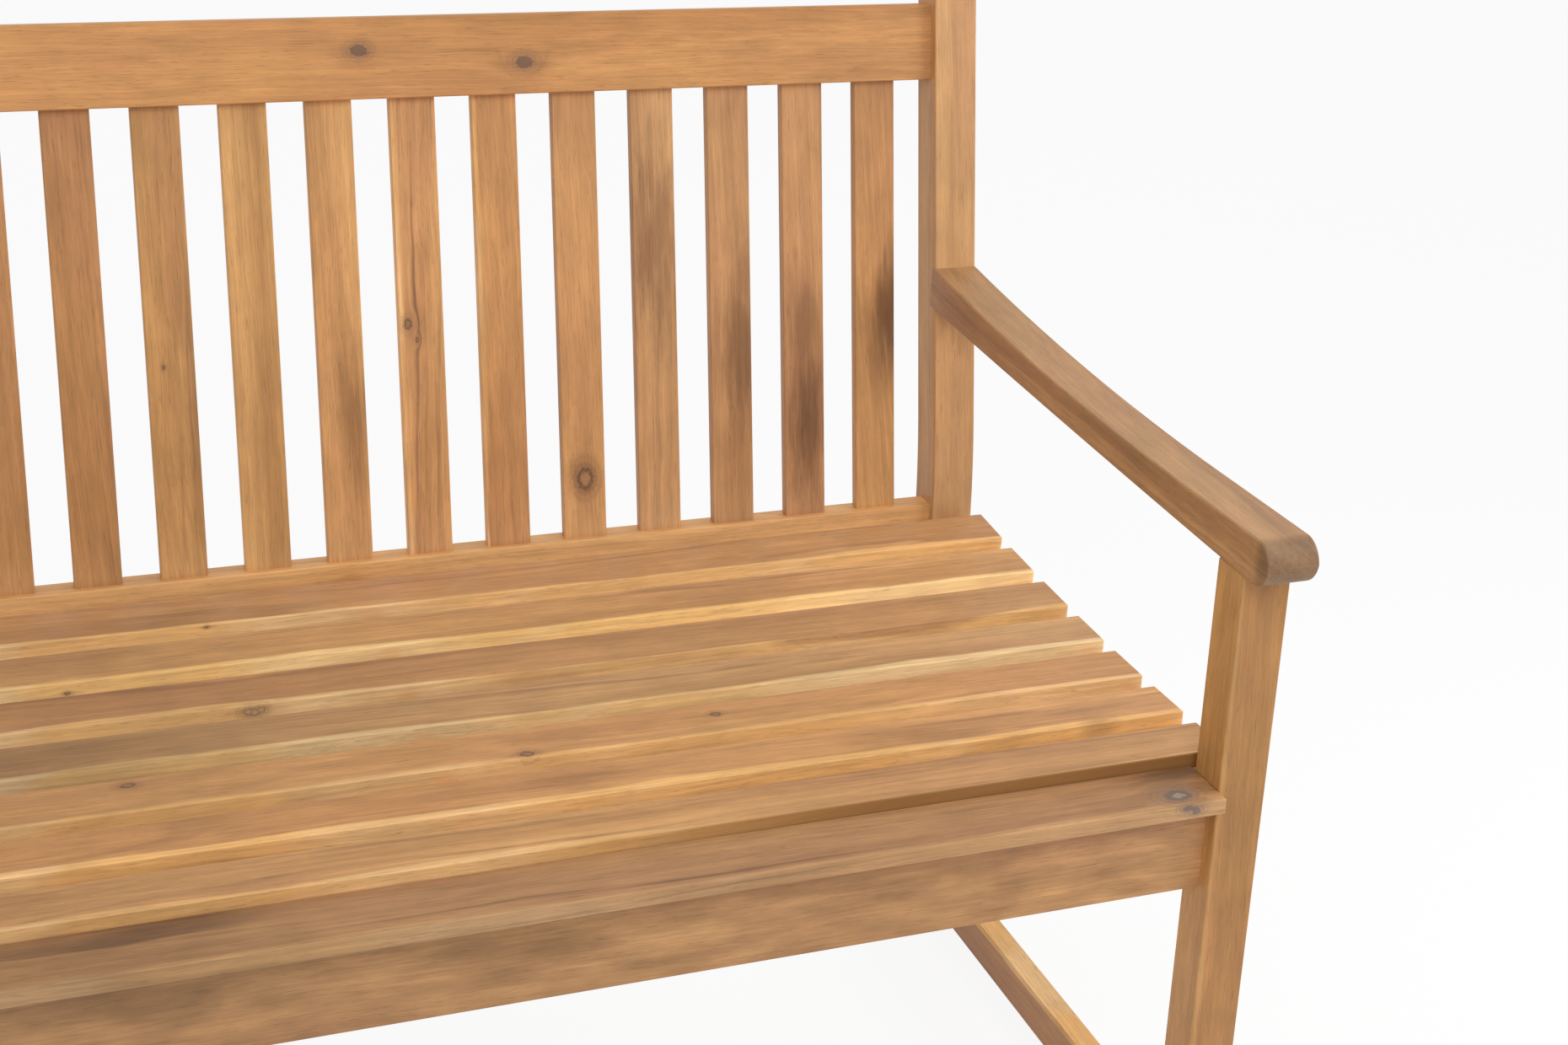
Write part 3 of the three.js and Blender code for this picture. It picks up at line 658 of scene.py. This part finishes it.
class BenchStageSettings(bpy.types.PropertyGroup):
    """The light, the floor and the camera"""

    lens: FloatProperty(
        name="Lens", description="The camera's focal length", default=54.99, min=10.0, max=300.0,
        unit="CAMERA")
    yaw: angle_setting("Turn", "The camera's turn to the right", 21.884)
    pitch: angle_setting("Tilt", "The camera's tilt down", 20.052)
    roll: angle_setting("Roll", "The camera's roll", 2.811)
    camera_place: FloatVectorProperty(
        name="Camera place", description="Where the camera stands", default=(-0.33225, -1.6971, 1.2829),
        size=3, subtype="TRANSLATION", unit="LENGTH")
    key_power: FloatProperty(
        name="Key light", description="Power of the main soft light", default=28.0, min=0.0, unit="POWER")
    side_power: FloatProperty(
        name="Side light", description="Power of the soft light beside the right arm", default=16.0,
        min=0.0, unit="POWER")
    sky: FloatProperty(
        name="Sky", description="Strength of the even light all round", default=0.58, min=0.0)
    floor_white: share_setting("Floor white", "How much of the floor shows as plain white", 0.90)


# Pieces


def wood():
    """The settings of the boards."""
    return bpy.context.scene.bench_wood


def foot_of(node):
    """The height of a solid's lowest point."""
    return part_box(node)[0][2]


def solid(node):
    """A solid's middle, and its length across the bench, its depth and its height."""
    low, high = (np.array(corner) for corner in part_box(node))
    return (low + high) / 2, high - low


class MakeFinishes(bpy.types.Operator):
    """Make the wood and steel finishes"""

    bl_idname = "bench.make_finishes"
    bl_label = "Finishes"

    def execute(self, context):
        make_wood(wood())
        make_steel(wood())
        return {"FINISHED"}


class MakeFrontLegs(bpy.types.Operator):
    """Make the two front legs, from just above the rockers' tread to the armrests"""

    bl_idname = "bench.make_front_legs"
    bl_label = "Front legs"

    def execute(self, context):
        y = along_y(FRONT_LEG_DEPTH / 2)
        top = ARM_TOP - ARM_THICKNESS + LEG_INTO_ARM
        for side, word in SIDES:
            x, foot = side * LEG_CENTRE, foot_of(f"front_leg_{word}")
            surface = straight((x, y, foot), (x, y, top), X, LEG_WIDTH, FRONT_LEG_DEPTH, wood().frame_edge)
            make_board(f"front_leg_{word}", "frame_wood", surface, 21 + side, tint=(0.85, 0.82, 0.705),
                       sapwood=0.20, streaks=0.15, front=-0.020, depth=0.06, slope=0.05)
        return {"FINISHED"}


def post_path():
    """The middle line of a post above its foot, as depths and heights: along a curve with its control
    point at the bend, then straight up the rake. The curve is the usual blend of three points by the
    squares of two shares."""
    rise = POST_DEPTH / 2 * math.tan(RAKE / 2)
    corner = np.array([POST_FACE + POST_DEPTH / 2, BEND_HEIGHT - rise])
    up = np.array([math.sin(RAKE), math.cos(RAKE)])
    below = corner - np.array([0.0, BEND_BLEND])
    above = corner + BEND_BLEND * up
    share = np.linspace(0.0, 1.0, 13)[:, None]
    curve = (1 - share) ** 2 * below + 2 * share * (1 - share) * corner + share ** 2 * above
    top = corner + (TOP_RAIL_RISE + TOP_RAIL_WIDTH + POST_ABOVE_RAIL - rise) * up
    return np.concatenate([curve, [top]])


class MakePosts(bpy.types.Operator):
    """Make the two rear posts, upright below and raked above"""

    bl_idname = "bench.make_posts"
    bl_label = "Rear posts"

    def execute(self, context):
        for side, word in SIDES:
            foot = [POST_FACE + POST_DEPTH / 2, foot_of(f"rear_post_{word}")]
            line = np.concatenate([[foot], post_path()])
            path = side_path(side * LEG_CENTRE, line[:, 0], line[:, 1])
            surface = board_surface(path, X, LEG_WIDTH / 2, POST_DEPTH / 2, wood().frame_edge)
            make_board(f"rear_post_{word}", "frame_wood", surface, 31 + side, tint=(0.93, 0.97, 1.03),
                       streaks=0.1, depth=0.07, slope=0.02)
        return {"FINISHED"}


def arm_top(depth):
    """The armrest's top: level to the front, then rising by the square of the share of the way back."""
    share = np.maximum(0.0, (depth - ARM_LEVEL_DEPTH) / (ARM_REAR - ARM_LEVEL_DEPTH))
    return ARM_TOP + ARM_TOP_RISE * share ** 2


def arm_under(depth):
    """The armrest's underside: a straight rise to the back, less a shallow sag."""
    share = np.maximum(0.0, depth) / ARM_REAR
    return ARM_TOP - ARM_THICKNESS + ARM_UNDER_RISE * share - 4 * ARM_UNDER_SAG * share * (1 - share)


class MakeArmrests(bpy.types.Operator):
    """Make the two armrests, with rounded noses"""

    bl_idname = "bench.make_armrests"
    bl_label = "Armrests"

    def execute(self, context):
        radius = ARM_THICKNESS / 2
        nose = radius - ARM_NOSE_REACH
        body = np.linspace(ARM_REAR + TENON, nose, 40)
        turn = np.linspace(0.0, NOSE_TURN, 14)[1:]
        depth = np.concatenate([body, nose - radius * np.sin(turn)])
        top = np.concatenate([arm_top(body), ARM_TOP - radius + radius * np.cos(turn)])
        under = np.concatenate([arm_under(body), ARM_TOP - radius - radius * np.cos(turn)])
        for side, word in SIDES:
            path = side_path(side * LEG_CENTRE, depth, (top + under) / 2)
            surface = board_surface(path, X, ARM_WIDTH / 2, (top - under) / 2, wood().arm_edge, through=Z,
                                    soft=(False, False))
            make_board(f"armrest_{word}", "frame_wood", surface, 41 + side, tint=(0.75, 0.79, 0.88),
                       slope=0.05, end_grain=0.580)
        return {"FINISHED"}


class MakeRockers(bpy.types.Operator):
    """Make the two rockers, on the legs' outer faces"""

    bl_idname = "bench.make_rockers"
    bl_label = "Rockers"

    def execute(self, context):
        middle = ROCKER_RADIUS - ROCKER_DEPTH / 2
        tip = ROCKER_DEPTH / 2
        turn = np.linspace(0.0, NOSE_TURN, 12)[1:]
        arc = np.linspace(-ROCKER_HALF_SWEEP, ROCKER_HALF_SWEEP, 61)
        past = ROCKER_HALF_SWEEP + tip * np.sin(turn) / middle
        taper = tip * np.cos(turn)
        angle = np.concatenate([-past[::-1], arc, past])
        half = np.concatenate([taper[::-1], np.full(len(arc), tip), taper])
        up = np.stack([np.zeros(len(angle)), -np.sin(angle), np.cos(angle)], axis=1)
        centre = INNER_WIDTH / 2 + LEG_WIDTH + JOINT_GAP + ROCKER_THICKNESS / 2
        for side, word in SIDES:
            path = np.stack([np.full(len(angle), side * centre), middle * np.sin(angle),
                             ROCKER_RADIUS - middle * np.cos(angle)], axis=1)
            surface = board_surface(path, (-1.0, 0.0, 0.0), ROCKER_THICKNESS / 2, half, wood().frame_edge,
                                    through=up, soft=(False, False))
            make_board(f"rocker_{word}", "frame_wood", surface, 51 + side, tint=(0.92, 0.90, 0.86),
                       depth=0.08, slope=0.04)
        return {"FINISHED"}


class MakeStretchers(bpy.types.Operator):
    """Make the low stretchers between the legs and posts"""

    bl_idname = "bench.make_stretchers"
    bl_label = "Side stretchers"

    def execute(self, context):
        front, rear = along_y(FRONT_LEG_DEPTH - TENON), along_y(POST_FACE + TENON)
        for side, word in SIDES:
            x = side * LEG_CENTRE
            surface = straight((x, rear, STRETCHER_HEIGHT), (x, front, STRETCHER_HEIGHT), (0.0, 0.0, -1.0),
                               STRETCHER_DEPTH, RAIL_THICKNESS, wood().edge)
            make_board(f"side_stretcher_{word}", "frame_wood", surface, 61 + side, tint=(0.82, 0.80, 0.80),
                       sapwood=1.0, front=-STRETCHER_DEPTH / 2)
        return {"FINISHED"}


def dish_height(depth, drop):
    """The height of a circle laid under the seat, its radius greater by the drop below the surface."""
    reach = np.sqrt((DISH_RADIUS + drop) ** 2 - (depth - SEAT_LOW_DEPTH) ** 2)
    return SEAT_LOW_HEIGHT + DISH_RADIUS - reach


SEAT_BEARERS = (
    # solid, place across, front and rear depth, and seed
    ("side_seat_rail_left", -LEG_CENTRE, FRONT_LEG_DEPTH + JOINT_GAP, POST_FACE + TENON, 60),
    ("side_seat_rail_right", LEG_CENTRE, FRONT_LEG_DEPTH + JOINT_GAP, POST_FACE + TENON, 82),
    ("centre_seat_support", 0.0, SUPPORT_FRONT, SUPPORT_REAR, 71),
)


class MakeSeatBearers(bpy.types.Operator):
    """Make the side seat rails and the centre support, dished on top and falling away at the rear"""

    bl_idname = "bench.make_seat_bearers"
    bl_label = "Seat bearers"

    def execute(self, context):
        drop = SEAT_SLAT_THICKNESS + JOINT_GAP
        low = SEAT_LOW_HEIGHT - drop - BEARER_DEPTH
        for node, x, front, rear, seed in SEAT_BEARERS:
            depth = np.concatenate([np.linspace(rear, SEAT_REAR, 12)[:-1], np.linspace(SEAT_REAR, front, 24)])
            top = dish_height(np.minimum(depth, SEAT_REAR), drop)
            top = top - BEARER_TAIL_SLOPE * np.maximum(depth - SEAT_REAR, 0.0)
            path = side_path(x, depth, (top + low) / 2)
            surface = board_surface(path, X, RAIL_THICKNESS / 2, (top - low) / 2, BEARER_EDGE, through=Z)
            make_board(node, "frame_wood", surface, seed, tint=(0.93, 0.90, 0.86))
        return {"FINISHED"}


def crosswise(middle, length, across, wide, thick):
    """A straight board from side to side, of full length, width and thickness."""
    half = np.array([length / 2, 0.0, 0.0])
    return straight(middle - half, middle + half, across, wide, thick, wood().edge)


class MakeApron(bpy.types.Operator):
    """Make the front apron"""

    bl_idname = "bench.make_apron"
    bl_label = "Front apron"

    def execute(self, context):
        middle, (length, thick, high) = solid("front_apron")
        surface = crosswise(middle, length + 2 * APRON_INTO_LEG, Z, high, thick)
        # Its lift is painted light, making the apron paler towards its right end
        make_board("front_apron", "frame_wood", surface, 81, tint=(0.77, 0.78, 0.83), streaks=0.12,
                   depth=0.09, slope=0.012, smudges_and_shadows=[(0.556, 0.0, 0.090, 0.5), (0.305, 0.010, 0.075, 0.5)],
                   painted_light_lift=0.33, mottle=0.9)
        return {"FINISHED"}


SMALL_KNOT = (0.35, 0.15, 0.0)
SCAR = (0.0, 0.0, 0.5)
SEAT_SLATS = (
    # The looks of each slat, from front to rear, with distances from the left end. Each lift is painted
    # light, making the slat paler towards its right end, and the first slat's front face carries a painted
    # shadow
    dict(tint=(1.00, 1.03, 1.04), sapwood=0.45, streaks=0.5, smudges_and_shadows=[(0.250, 0.004, 0.120, 0.45)],
         painted_face_shadow=(0.55, 0.85, 0.9), painted_light_lift=0.05),
    dict(tint=(1.01, 0.99, 0.98), sapwood=0.72, streaks=0.7, front=-0.020,
         smudges_and_shadows=[(0.655, 0.004, 0.060, 0.4), (1.066, -0.022, 0.022, 0.5)], painted_light_lift=0.10),
    dict(tint=(0.94, 0.94, 0.93), sapwood=0.54, streaks=0.4, knot_look=SMALL_KNOT, painted_light_lift=0.32,
         knots=[(0.786, 0.005, 0.006, 0.0036), (0.632, -0.0175, 0.006, 0.0042),
                (0.351, 0.014, 0.006, 0.0040)]),
    dict(tint=(0.83, 0.90, 0.98), sapwood=0.75, streaks=0.6, smudges_and_shadows=[(0.300, 0.004, 0.120, 0.35)],
         painted_light_lift=0.46),
    dict(tint=(0.80, 0.80, 0.83), sapwood=0.85, streaks=0.4, knot_look=SCAR, knot_rim=0.38, painted_light_lift=0.10,
         knots=[(0.4490, -0.0241, 0.0005, 0.0035), (0.4535, -0.0242, -0.0005, 0.0038),
                (0.4582, -0.0240, 0.0010, 0.0032)]),
    dict(tint=(1.02, 1.06, 1.05), sapwood=0.85, streaks=0.6, knot_look=SMALL_KNOT,
         knots=[(0.323, -0.024, -0.003, 0.0018)], smudges_and_shadows=[(0.300, 0.010, 0.120, 0.30)], painted_light_lift=0.34),
    dict(tint=(0.90, 0.89, 0.91), sapwood=0.82, streaks=0.5, knot_look=SMALL_KNOT,
         knots=[(0.436, -0.024, 0.004, 0.0013)], painted_light_lift=0.15),
)


class MakeSeatSlats(bpy.types.Operator):
    """Make the seat slats, each laid square to the dish, and the lower slat in front"""

    bl_idname = "bench.make_seat_slats"
    bl_label = "Seat slats"

    def execute(self, context):
        for number, looks in enumerate(SEAT_SLATS, start=1):
            node = f"seat_slat_{number}"
            middle, (length, _, _) = solid(node)
            tilt = math.asin((middle[1] + ROCKER_CONTACT - SEAT_LOW_DEPTH) / DISH_RADIUS)
            across = (0.0, math.cos(tilt), math.sin(tilt))
            surface = crosswise(middle, length, across, SEAT_SLAT_WIDTH, SEAT_SLAT_THICKNESS)
            make_board(node, "seat_wood", surface, 100 + number, depth=0.045 + 0.012 * (number % 3),
                       slope=0.02, **looks)
        # The front slat's first dark mark is a painted shadow of the right front leg, and its paler right end
        # is painted light
        middle, (length, wide, thick) = solid("seat_slat_front")
        surface = crosswise(middle, length, Y, wide, thick)
        make_board("seat_slat_front", "seat_wood", surface, 111, tint=(0.71, 0.73, 0.81), sapwood=0.24,
                   streaks=0.9, front=-wide / 2, depth=0.06, slope=0.02, knot_look=(1.0, 1.0, 0.65),
                   knots=[(1.0445, -0.012, 0.006, 0.0084), (1.0450, -0.0294, 0.004, 0.0040),
                          (1.0512, -0.0293, 0.001, 0.0038)],
                   smudges_and_shadows=[(1.064, 0.020, 0.054, 0.9), (0.290, -0.004, 0.120, 0.4)], painted_light_lift=0.25)
        return {"FINISHED"}


SLAT_KNOT = (0.4, 0.0, 0.0)
BACK_SLATS = (
    # The looks of each slat, from left to right, with distances from the foot
    dict(tint=(0.98, 0.96, 0.92)),
    dict(tint=(0.94, 0.92, 0.88), streaks=0.6, smudges_and_shadows=[(0.260, 0.0, 0.050, 0.4)]),
    dict(tint=(0.98, 0.97, 0.92)),
    dict(tint=(0.96, 0.94, 0.90), sapwood=0.3, streaks=0.4, knots=[(0.300, 0.006, -0.005, 0.0030)],
         knot_look=SLAT_KNOT),
    dict(tint=(0.90, 0.86, 0.82), streaks=0.7),
    dict(tint=(0.93, 0.93, 0.86), streaks=0.8, knots=[(0.190, -0.006, -0.005, 0.0015)],
         knot_look=SLAT_KNOT, smudges_and_shadows=[(0.250, 0.012, 0.060, 0.25)]),
    dict(tint=(1.05, 1.09, 1.04), streaks=0.15, smudges_and_shadows=[(0.150, 0.008, 0.045, 0.2)]),
    dict(tint=(1.10, 1.11, 1.08), streaks=0.5, smudges_and_shadows=[(0.130, 0.012, 0.080, 0.5)]),
    dict(tint=(1.08, 1.07, 1.06), sapwood=0.3, streaks=1.0, knot_look=SLAT_KNOT,
         knots=[(0.212, -0.0115, -0.005, 0.0036), (0.198, -0.004, -0.005, 0.0020)],
         smudges_and_shadows=[(0.215, -0.004, 0.030, 0.4)]),
    dict(tint=(0.95, 0.90, 0.86), sapwood=0.4, streaks=0.9),
    dict(tint=(1.01, 1.01, 0.98), streaks=0.5, knots=[(0.063, 0.001, -0.005, 0.0076)],
         knot_look=(0.0, 0.0, 0.0), smudges_and_shadows=[(0.066, -0.004, 0.030, 0.12)]),
    dict(tint=(0.99, 1.02, 1.12), streaks=0.4,
         smudges_and_shadows=[(0.270, 0.001, 0.110, 0.8), (0.345, 0.002, 0.050, 0.3)]),
    dict(tint=(0.81, 0.795, 0.85), smudges_and_shadows=[(0.165, 0.012, 0.085, 0.8), (0.230, 0.014, 0.060, 0.5)]),
    dict(tint=(0.88, 0.86, 0.91), smudges_and_shadows=[(0.100, 0.004, 0.085, 0.9), (0.190, 0.0, 0.070, 0.5)]),
    dict(tint=(0.93, 0.92, 0.86), streaks=0.6,
         smudges_and_shadows=[(0.195, 0.014, 0.075, 1.0), (0.155, 0.003, 0.060, 0.4)]),
)


class MakeBack(bpy.types.Operator):
    """Make the top rail, the lower back rail and the back slats"""

    bl_idname = "bench.make_back"
    bl_label = "Back"

    def execute(self, context):
        half = INNER_WIDTH / 2 + RAIL_INTO_POST
        up = raked(0.0, 0.0, 1.0) - raked(0.0, 0.0, 0.0)
        inset, rise = TOP_RAIL_INSET + TOP_RAIL_THICKNESS / 2, TOP_RAIL_RISE + TOP_RAIL_WIDTH / 2
        surface = straight(raked(-half, inset, rise), raked(half, inset, rise), up, TOP_RAIL_WIDTH,
                           TOP_RAIL_THICKNESS, wood().edge)
        make_board("top_rail", "back_wood", surface, 121, tint=(0.985, 0.915, 0.82), depth=0.08, slope=0.01,
                   knots=[(0.566, 0.0065, 0.012, 0.0052), (0.705, -0.007, 0.012, 0.0056)],
                   knot_look=(0.85, 0.35, 0.0), smudges_and_shadows=[(0.960, -0.016, 0.170, 0.4)])

        middle, (_, thick, high) = solid("lower_back_rail")
        surface = crosswise(middle, 2 * half, Z, high, thick)
        make_board("lower_back_rail", "back_wood", surface, 122, tint=(1.18, 1.22, 1.18), depth=0.07,
                   slope=0.015)

        free = INNER_WIDTH - 2 * SLAT_END_GAP - SLAT_COUNT * SLAT_WIDTH
        pitch = free / (SLAT_COUNT - 1) + SLAT_WIDTH
        foot = (LOWER_RAIL_TOP - BEND_HEIGHT + SLAT_INSET * math.sin(RAKE)) / math.cos(RAKE) - SLAT_HOUSING
        head = TOP_RAIL_RISE + SLAT_HOUSING
        inset = SLAT_INSET + SLAT_THICKNESS / 2
        for number, looks in enumerate(BACK_SLATS, start=1):
            x = -INNER_WIDTH / 2 + SLAT_END_GAP + SLAT_WIDTH / 2 + (number - 1) * pitch
            surface = straight(raked(x, inset, foot), raked(x, inset, head), X, SLAT_WIDTH, SLAT_THICKNESS,
                               wood().edge)
            make_board(f"back_slat_{number:02d}", "back_wood", surface, 140 + number, front=-SLAT_WIDTH / 2,
                       depth=0.04 + 0.015 * (number % 4), slope=0.04 - 0.01 * (number % 5), **looks)
        return {"FINISHED"}


def bolt_profile(length):
    """A shallow dome, a rounded rim, the underside and the shank, as radius and distance: the dome's
    radius goes by the sine of a quarter turn and its distance by one less the cosine."""
    turn = np.linspace(0.0, math.pi / 2, 10)
    dome = np.stack([BOLT_HEAD_RADIUS * np.sin(turn), BOLT_HEAD_HEIGHT * (1.0 - np.cos(turn))], axis=1)
    shank = [[BOLT_SHANK_RADIUS, BOLT_HEAD_HEIGHT], [BOLT_SHANK_RADIUS, length], [0.0, length]]
    return np.concatenate([dome, shank])


def nut_surface():
    """A six-sided nut: a ring whose radius is its across-flats half over the cosine of the turn from
    the nearest flat's middle, its rim eased at both faces, round a threaded hole."""
    turn = np.linspace(0.0, 2 * math.pi, 72, endpoint=False)
    flat = np.mod(turn, math.pi / 3) - math.pi / 6
    hexagon = NUT_HALF_WIDTH / np.cos(flat)
    face = np.minimum(hexagon, NUT_FACE_RADIUS)
    hole = np.full(len(turn), NUT_HOLE_RADIUS)
    radii = np.stack([hole, face, hexagon, hexagon, face, hole])
    height = np.array([0.0, 0.0, NUT_EASE, NUT_HEIGHT - NUT_EASE, NUT_HEIGHT, NUT_HEIGHT])[:, None]
    points = np.stack([radii * np.cos(turn), radii * np.sin(turn), np.broadcast_to(height, radii.shape)],
                      axis=-1)
    return points.reshape(-1, 3), ring_quads(*radii.shape, closed=True)[1]


class MakeFastenings(bpy.types.Operator):
    """Make the dome-headed bolts and the nuts, in place of the plain solids"""

    bl_idname = "bench.make_fastenings"
    bl_label = "Bolts and nuts"

    def execute(self, context):
        for node in sorted(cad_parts):
            if "_bolt_" not in node and "_nut_" not in node:
                continue
            (x, y, z), (length, _, _) = solid(node)
            side = -1 if node.endswith("left") else 1
            turn = Matrix.Rotation(-side * math.pi / 2, 3, "Y")
            if "_nut_" in node:
                points, faces = nut_surface()
                start = (side * (INNER_WIDTH / 2 - JOINT_GAP), y, z)
            elif node.startswith("armrest"):
                points, faces = turned_surface(bolt_profile(ARM_BOLT_LENGTH))
                turn = Matrix.Rotation(math.pi / 2 - RAKE, 3, "X")
                middle = ARM_BOLT_INSET - ARM_BOLT_LENGTH / 2
                start = raked(x, ARM_BOLT_INSET, (z - BEND_HEIGHT + middle * math.sin(RAKE)) / math.cos(RAKE))
            else:
                points, faces = turned_surface(bolt_profile(length))
                start = (x + side * length / 2, y, z)
            points = points @ np.array(turn).T + np.array(start)
            piece = new_object(f"fitted_{node}", points, faces, "plated_steel")
            piece.data.shade_smooth()
            piece.data.set_sharp_from_angle(angle=math.radians(35))
            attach(piece, "root")
            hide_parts(node)
        return {"FINISHED"}


# Stage

PHOTO_WIDTH, PHOTO_HEIGHT = 1860.0, 1240.0
AXIS_PIXEL = (975.9, 497.6)
FLOOR_HALF = 14.0
FLOOR_COLOUR = (0.9, 0.9, 0.9)


def seen_directly(graph):
    """1 for the rays of the camera, of reflections and of clear materials, and 0 for spreading light."""
    rays = graph.add("ShaderNodeLightPath").outputs
    seen = graph.maths("MAXIMUM", rays["Is Camera Ray"], rays["Is Glossy Ray"])
    return graph.maths("MAXIMUM", seen, rays["Is Transmission Ray"])


def make_floor_finish(share):
    """A pale matt surface, of which a share is plain white where it is seen directly."""
    graph = new_finish("pale_floor")
    matt = graph.add("ShaderNodeBsdfDiffuse", {"Color": FLOOR_COLOUR})
    white = graph.add("ShaderNodeEmission", {"Color": WHITE, "Strength": 1.0})
    white_share = graph.times(seen_directly(graph), share)
    graph.finish(graph.add("ShaderNodeMixShader", {0: white_share, 1: matt.outputs[0], 2: white.outputs[0]}))


def make_surround(sky):
    """A world that lights at the sky's strength, and is plain white where it is seen directly."""
    world = bpy.data.worlds.new("soft_surround")
    world.use_nodes = True
    graph = Graph(world.node_tree)
    strength = graph.times_plus(seen_directly(graph), 1.0 - sky, sky)
    background = graph.add("ShaderNodeBackground", {"Color": WHITE, "Strength": strength})
    graph.add("ShaderNodeOutputWorld", {"Surface": background.outputs[0]})
    return world


def add_area(name, place, target, size, power):
    """A rectangular soft light, turned so that its -Z points at a target."""
    lamp = bpy.data.lights.new(name, "AREA")
    lamp.shape = "RECTANGLE"
    lamp.size, lamp.size_y = size
    lamp.energy = power
    light = bpy.data.objects.new(name, lamp)
    light.location = place
    light.rotation_mode = "QUATERNION"
    light.rotation_quaternion = (Vector(place) - Vector(target)).to_track_quat("Z", "Y")
    bpy.context.collection.objects.link(light)


def add_camera(stage):
    """A camera at the photograph's place: its axis is turned right by the yaw and down by the pitch,
    the roll turns it about that axis, and the shift moves the axis off the middle of the picture."""
    camera = bpy.data.cameras.new("camera")
    camera.sensor_width = 36.0
    camera.sensor_fit = "HORIZONTAL"
    camera.lens = stage.lens
    camera.shift_x = (PHOTO_WIDTH / 2 - AXIS_PIXEL[0]) / PHOTO_WIDTH
    camera.shift_y = (AXIS_PIXEL[1] - PHOTO_HEIGHT / 2) / PHOTO_WIDTH
    camera.clip_start = 0.05
    camera.clip_end = 60.0
    yaw, pitch, roll = stage.yaw, stage.pitch, stage.roll
    forward = Vector((math.sin(yaw) * math.cos(pitch), math.cos(yaw) * math.cos(pitch), -math.sin(pitch)))
    right = Vector((math.cos(yaw), -math.sin(yaw), 0.0))
    up = right.cross(forward)
    turned_right = math.cos(roll) * right + math.sin(roll) * up
    turned_up = math.cos(roll) * up - math.sin(roll) * right
    axes = Matrix((turned_right, turned_up, -forward)).transposed()
    holder = bpy.data.objects.new("camera", camera)
    holder.matrix_world = Matrix.Translation(stage.camera_place) @ axes.to_4x4()
    bpy.context.collection.objects.link(holder)
    return holder


class MakeStage(bpy.types.Operator):
    """Set the floor, the soft light and the camera"""

    bl_idname = "bench.make_stage"
    bl_label = "Stage"

    def execute(self, context):
        stage = context.scene.bench_stage
        corners = FLOOR_HALF * np.array([[-1, -1, 0], [1, -1, 0], [1, 1, 0], [-1, 1, 0]])
        make_floor_finish(stage.floor_white)
        floor = new_object("floor", corners, [[0, 1, 2, 3]], "pale_floor")
        context.scene.world = make_surround(stage.sky)
        add_area("key_light", (-0.3, -2.3, 2.7), (0.0, 0.0, 0.4), (1.9, 1.4), stage.key_power)
        add_area("side_light", (1.9, -0.55, 1.2), (0.4, -0.1, 0.4), (1.2, 1.2), stage.side_power)
        context.scene.camera = add_camera(stage)
        context.scene.view_settings.view_transform = "Standard"
        return {"FINISHED"}


# Panel and registration


STEPS = (
    MakeFinishes, MakeFrontLegs, MakePosts, MakeArmrests, MakeRockers, MakeStretchers, MakeSeatBearers,
    MakeApron, MakeSeatSlats, MakeBack, MakeFastenings, MakeStage,
)


class BenchPanel(bpy.types.Panel):
    """The bench's steps and settings"""

    bl_idname = "VIEW3D_PT_rocking_bench"
    bl_label = "Rocking bench"
    bl_space_type = "VIEW_3D"
    bl_region_type = "UI"
    bl_category = "Bench"

    def draw(self, context):
        layout = self.layout
        for group in (context.scene.bench_wood, context.scene.bench_stage):
            for name in group.bl_rna.properties.keys():
                if name not in ("rna_type", "name"):
                    layout.prop(group, name)
        for step in STEPS:
            layout.operator(step.bl_idname)


CLASSES = (BenchWoodSettings, BenchStageSettings, *STEPS, BenchPanel)


def register():
    for item in CLASSES:
        bpy.utils.register_class(item)
    bpy.types.Scene.bench_wood = PointerProperty(type=BenchWoodSettings)
    bpy.types.Scene.bench_stage = PointerProperty(type=BenchStageSettings)


def unregister():
    del bpy.types.Scene.bench_wood
    del bpy.types.Scene.bench_stage
    for item in reversed(CLASSES):
        bpy.utils.unregister_class(item)


def main():
    register()
    for step in STEPS:
        family, name = step.bl_idname.split(".")
        getattr(getattr(bpy.ops, family), name)()


if __name__ == "__main__":
    main()
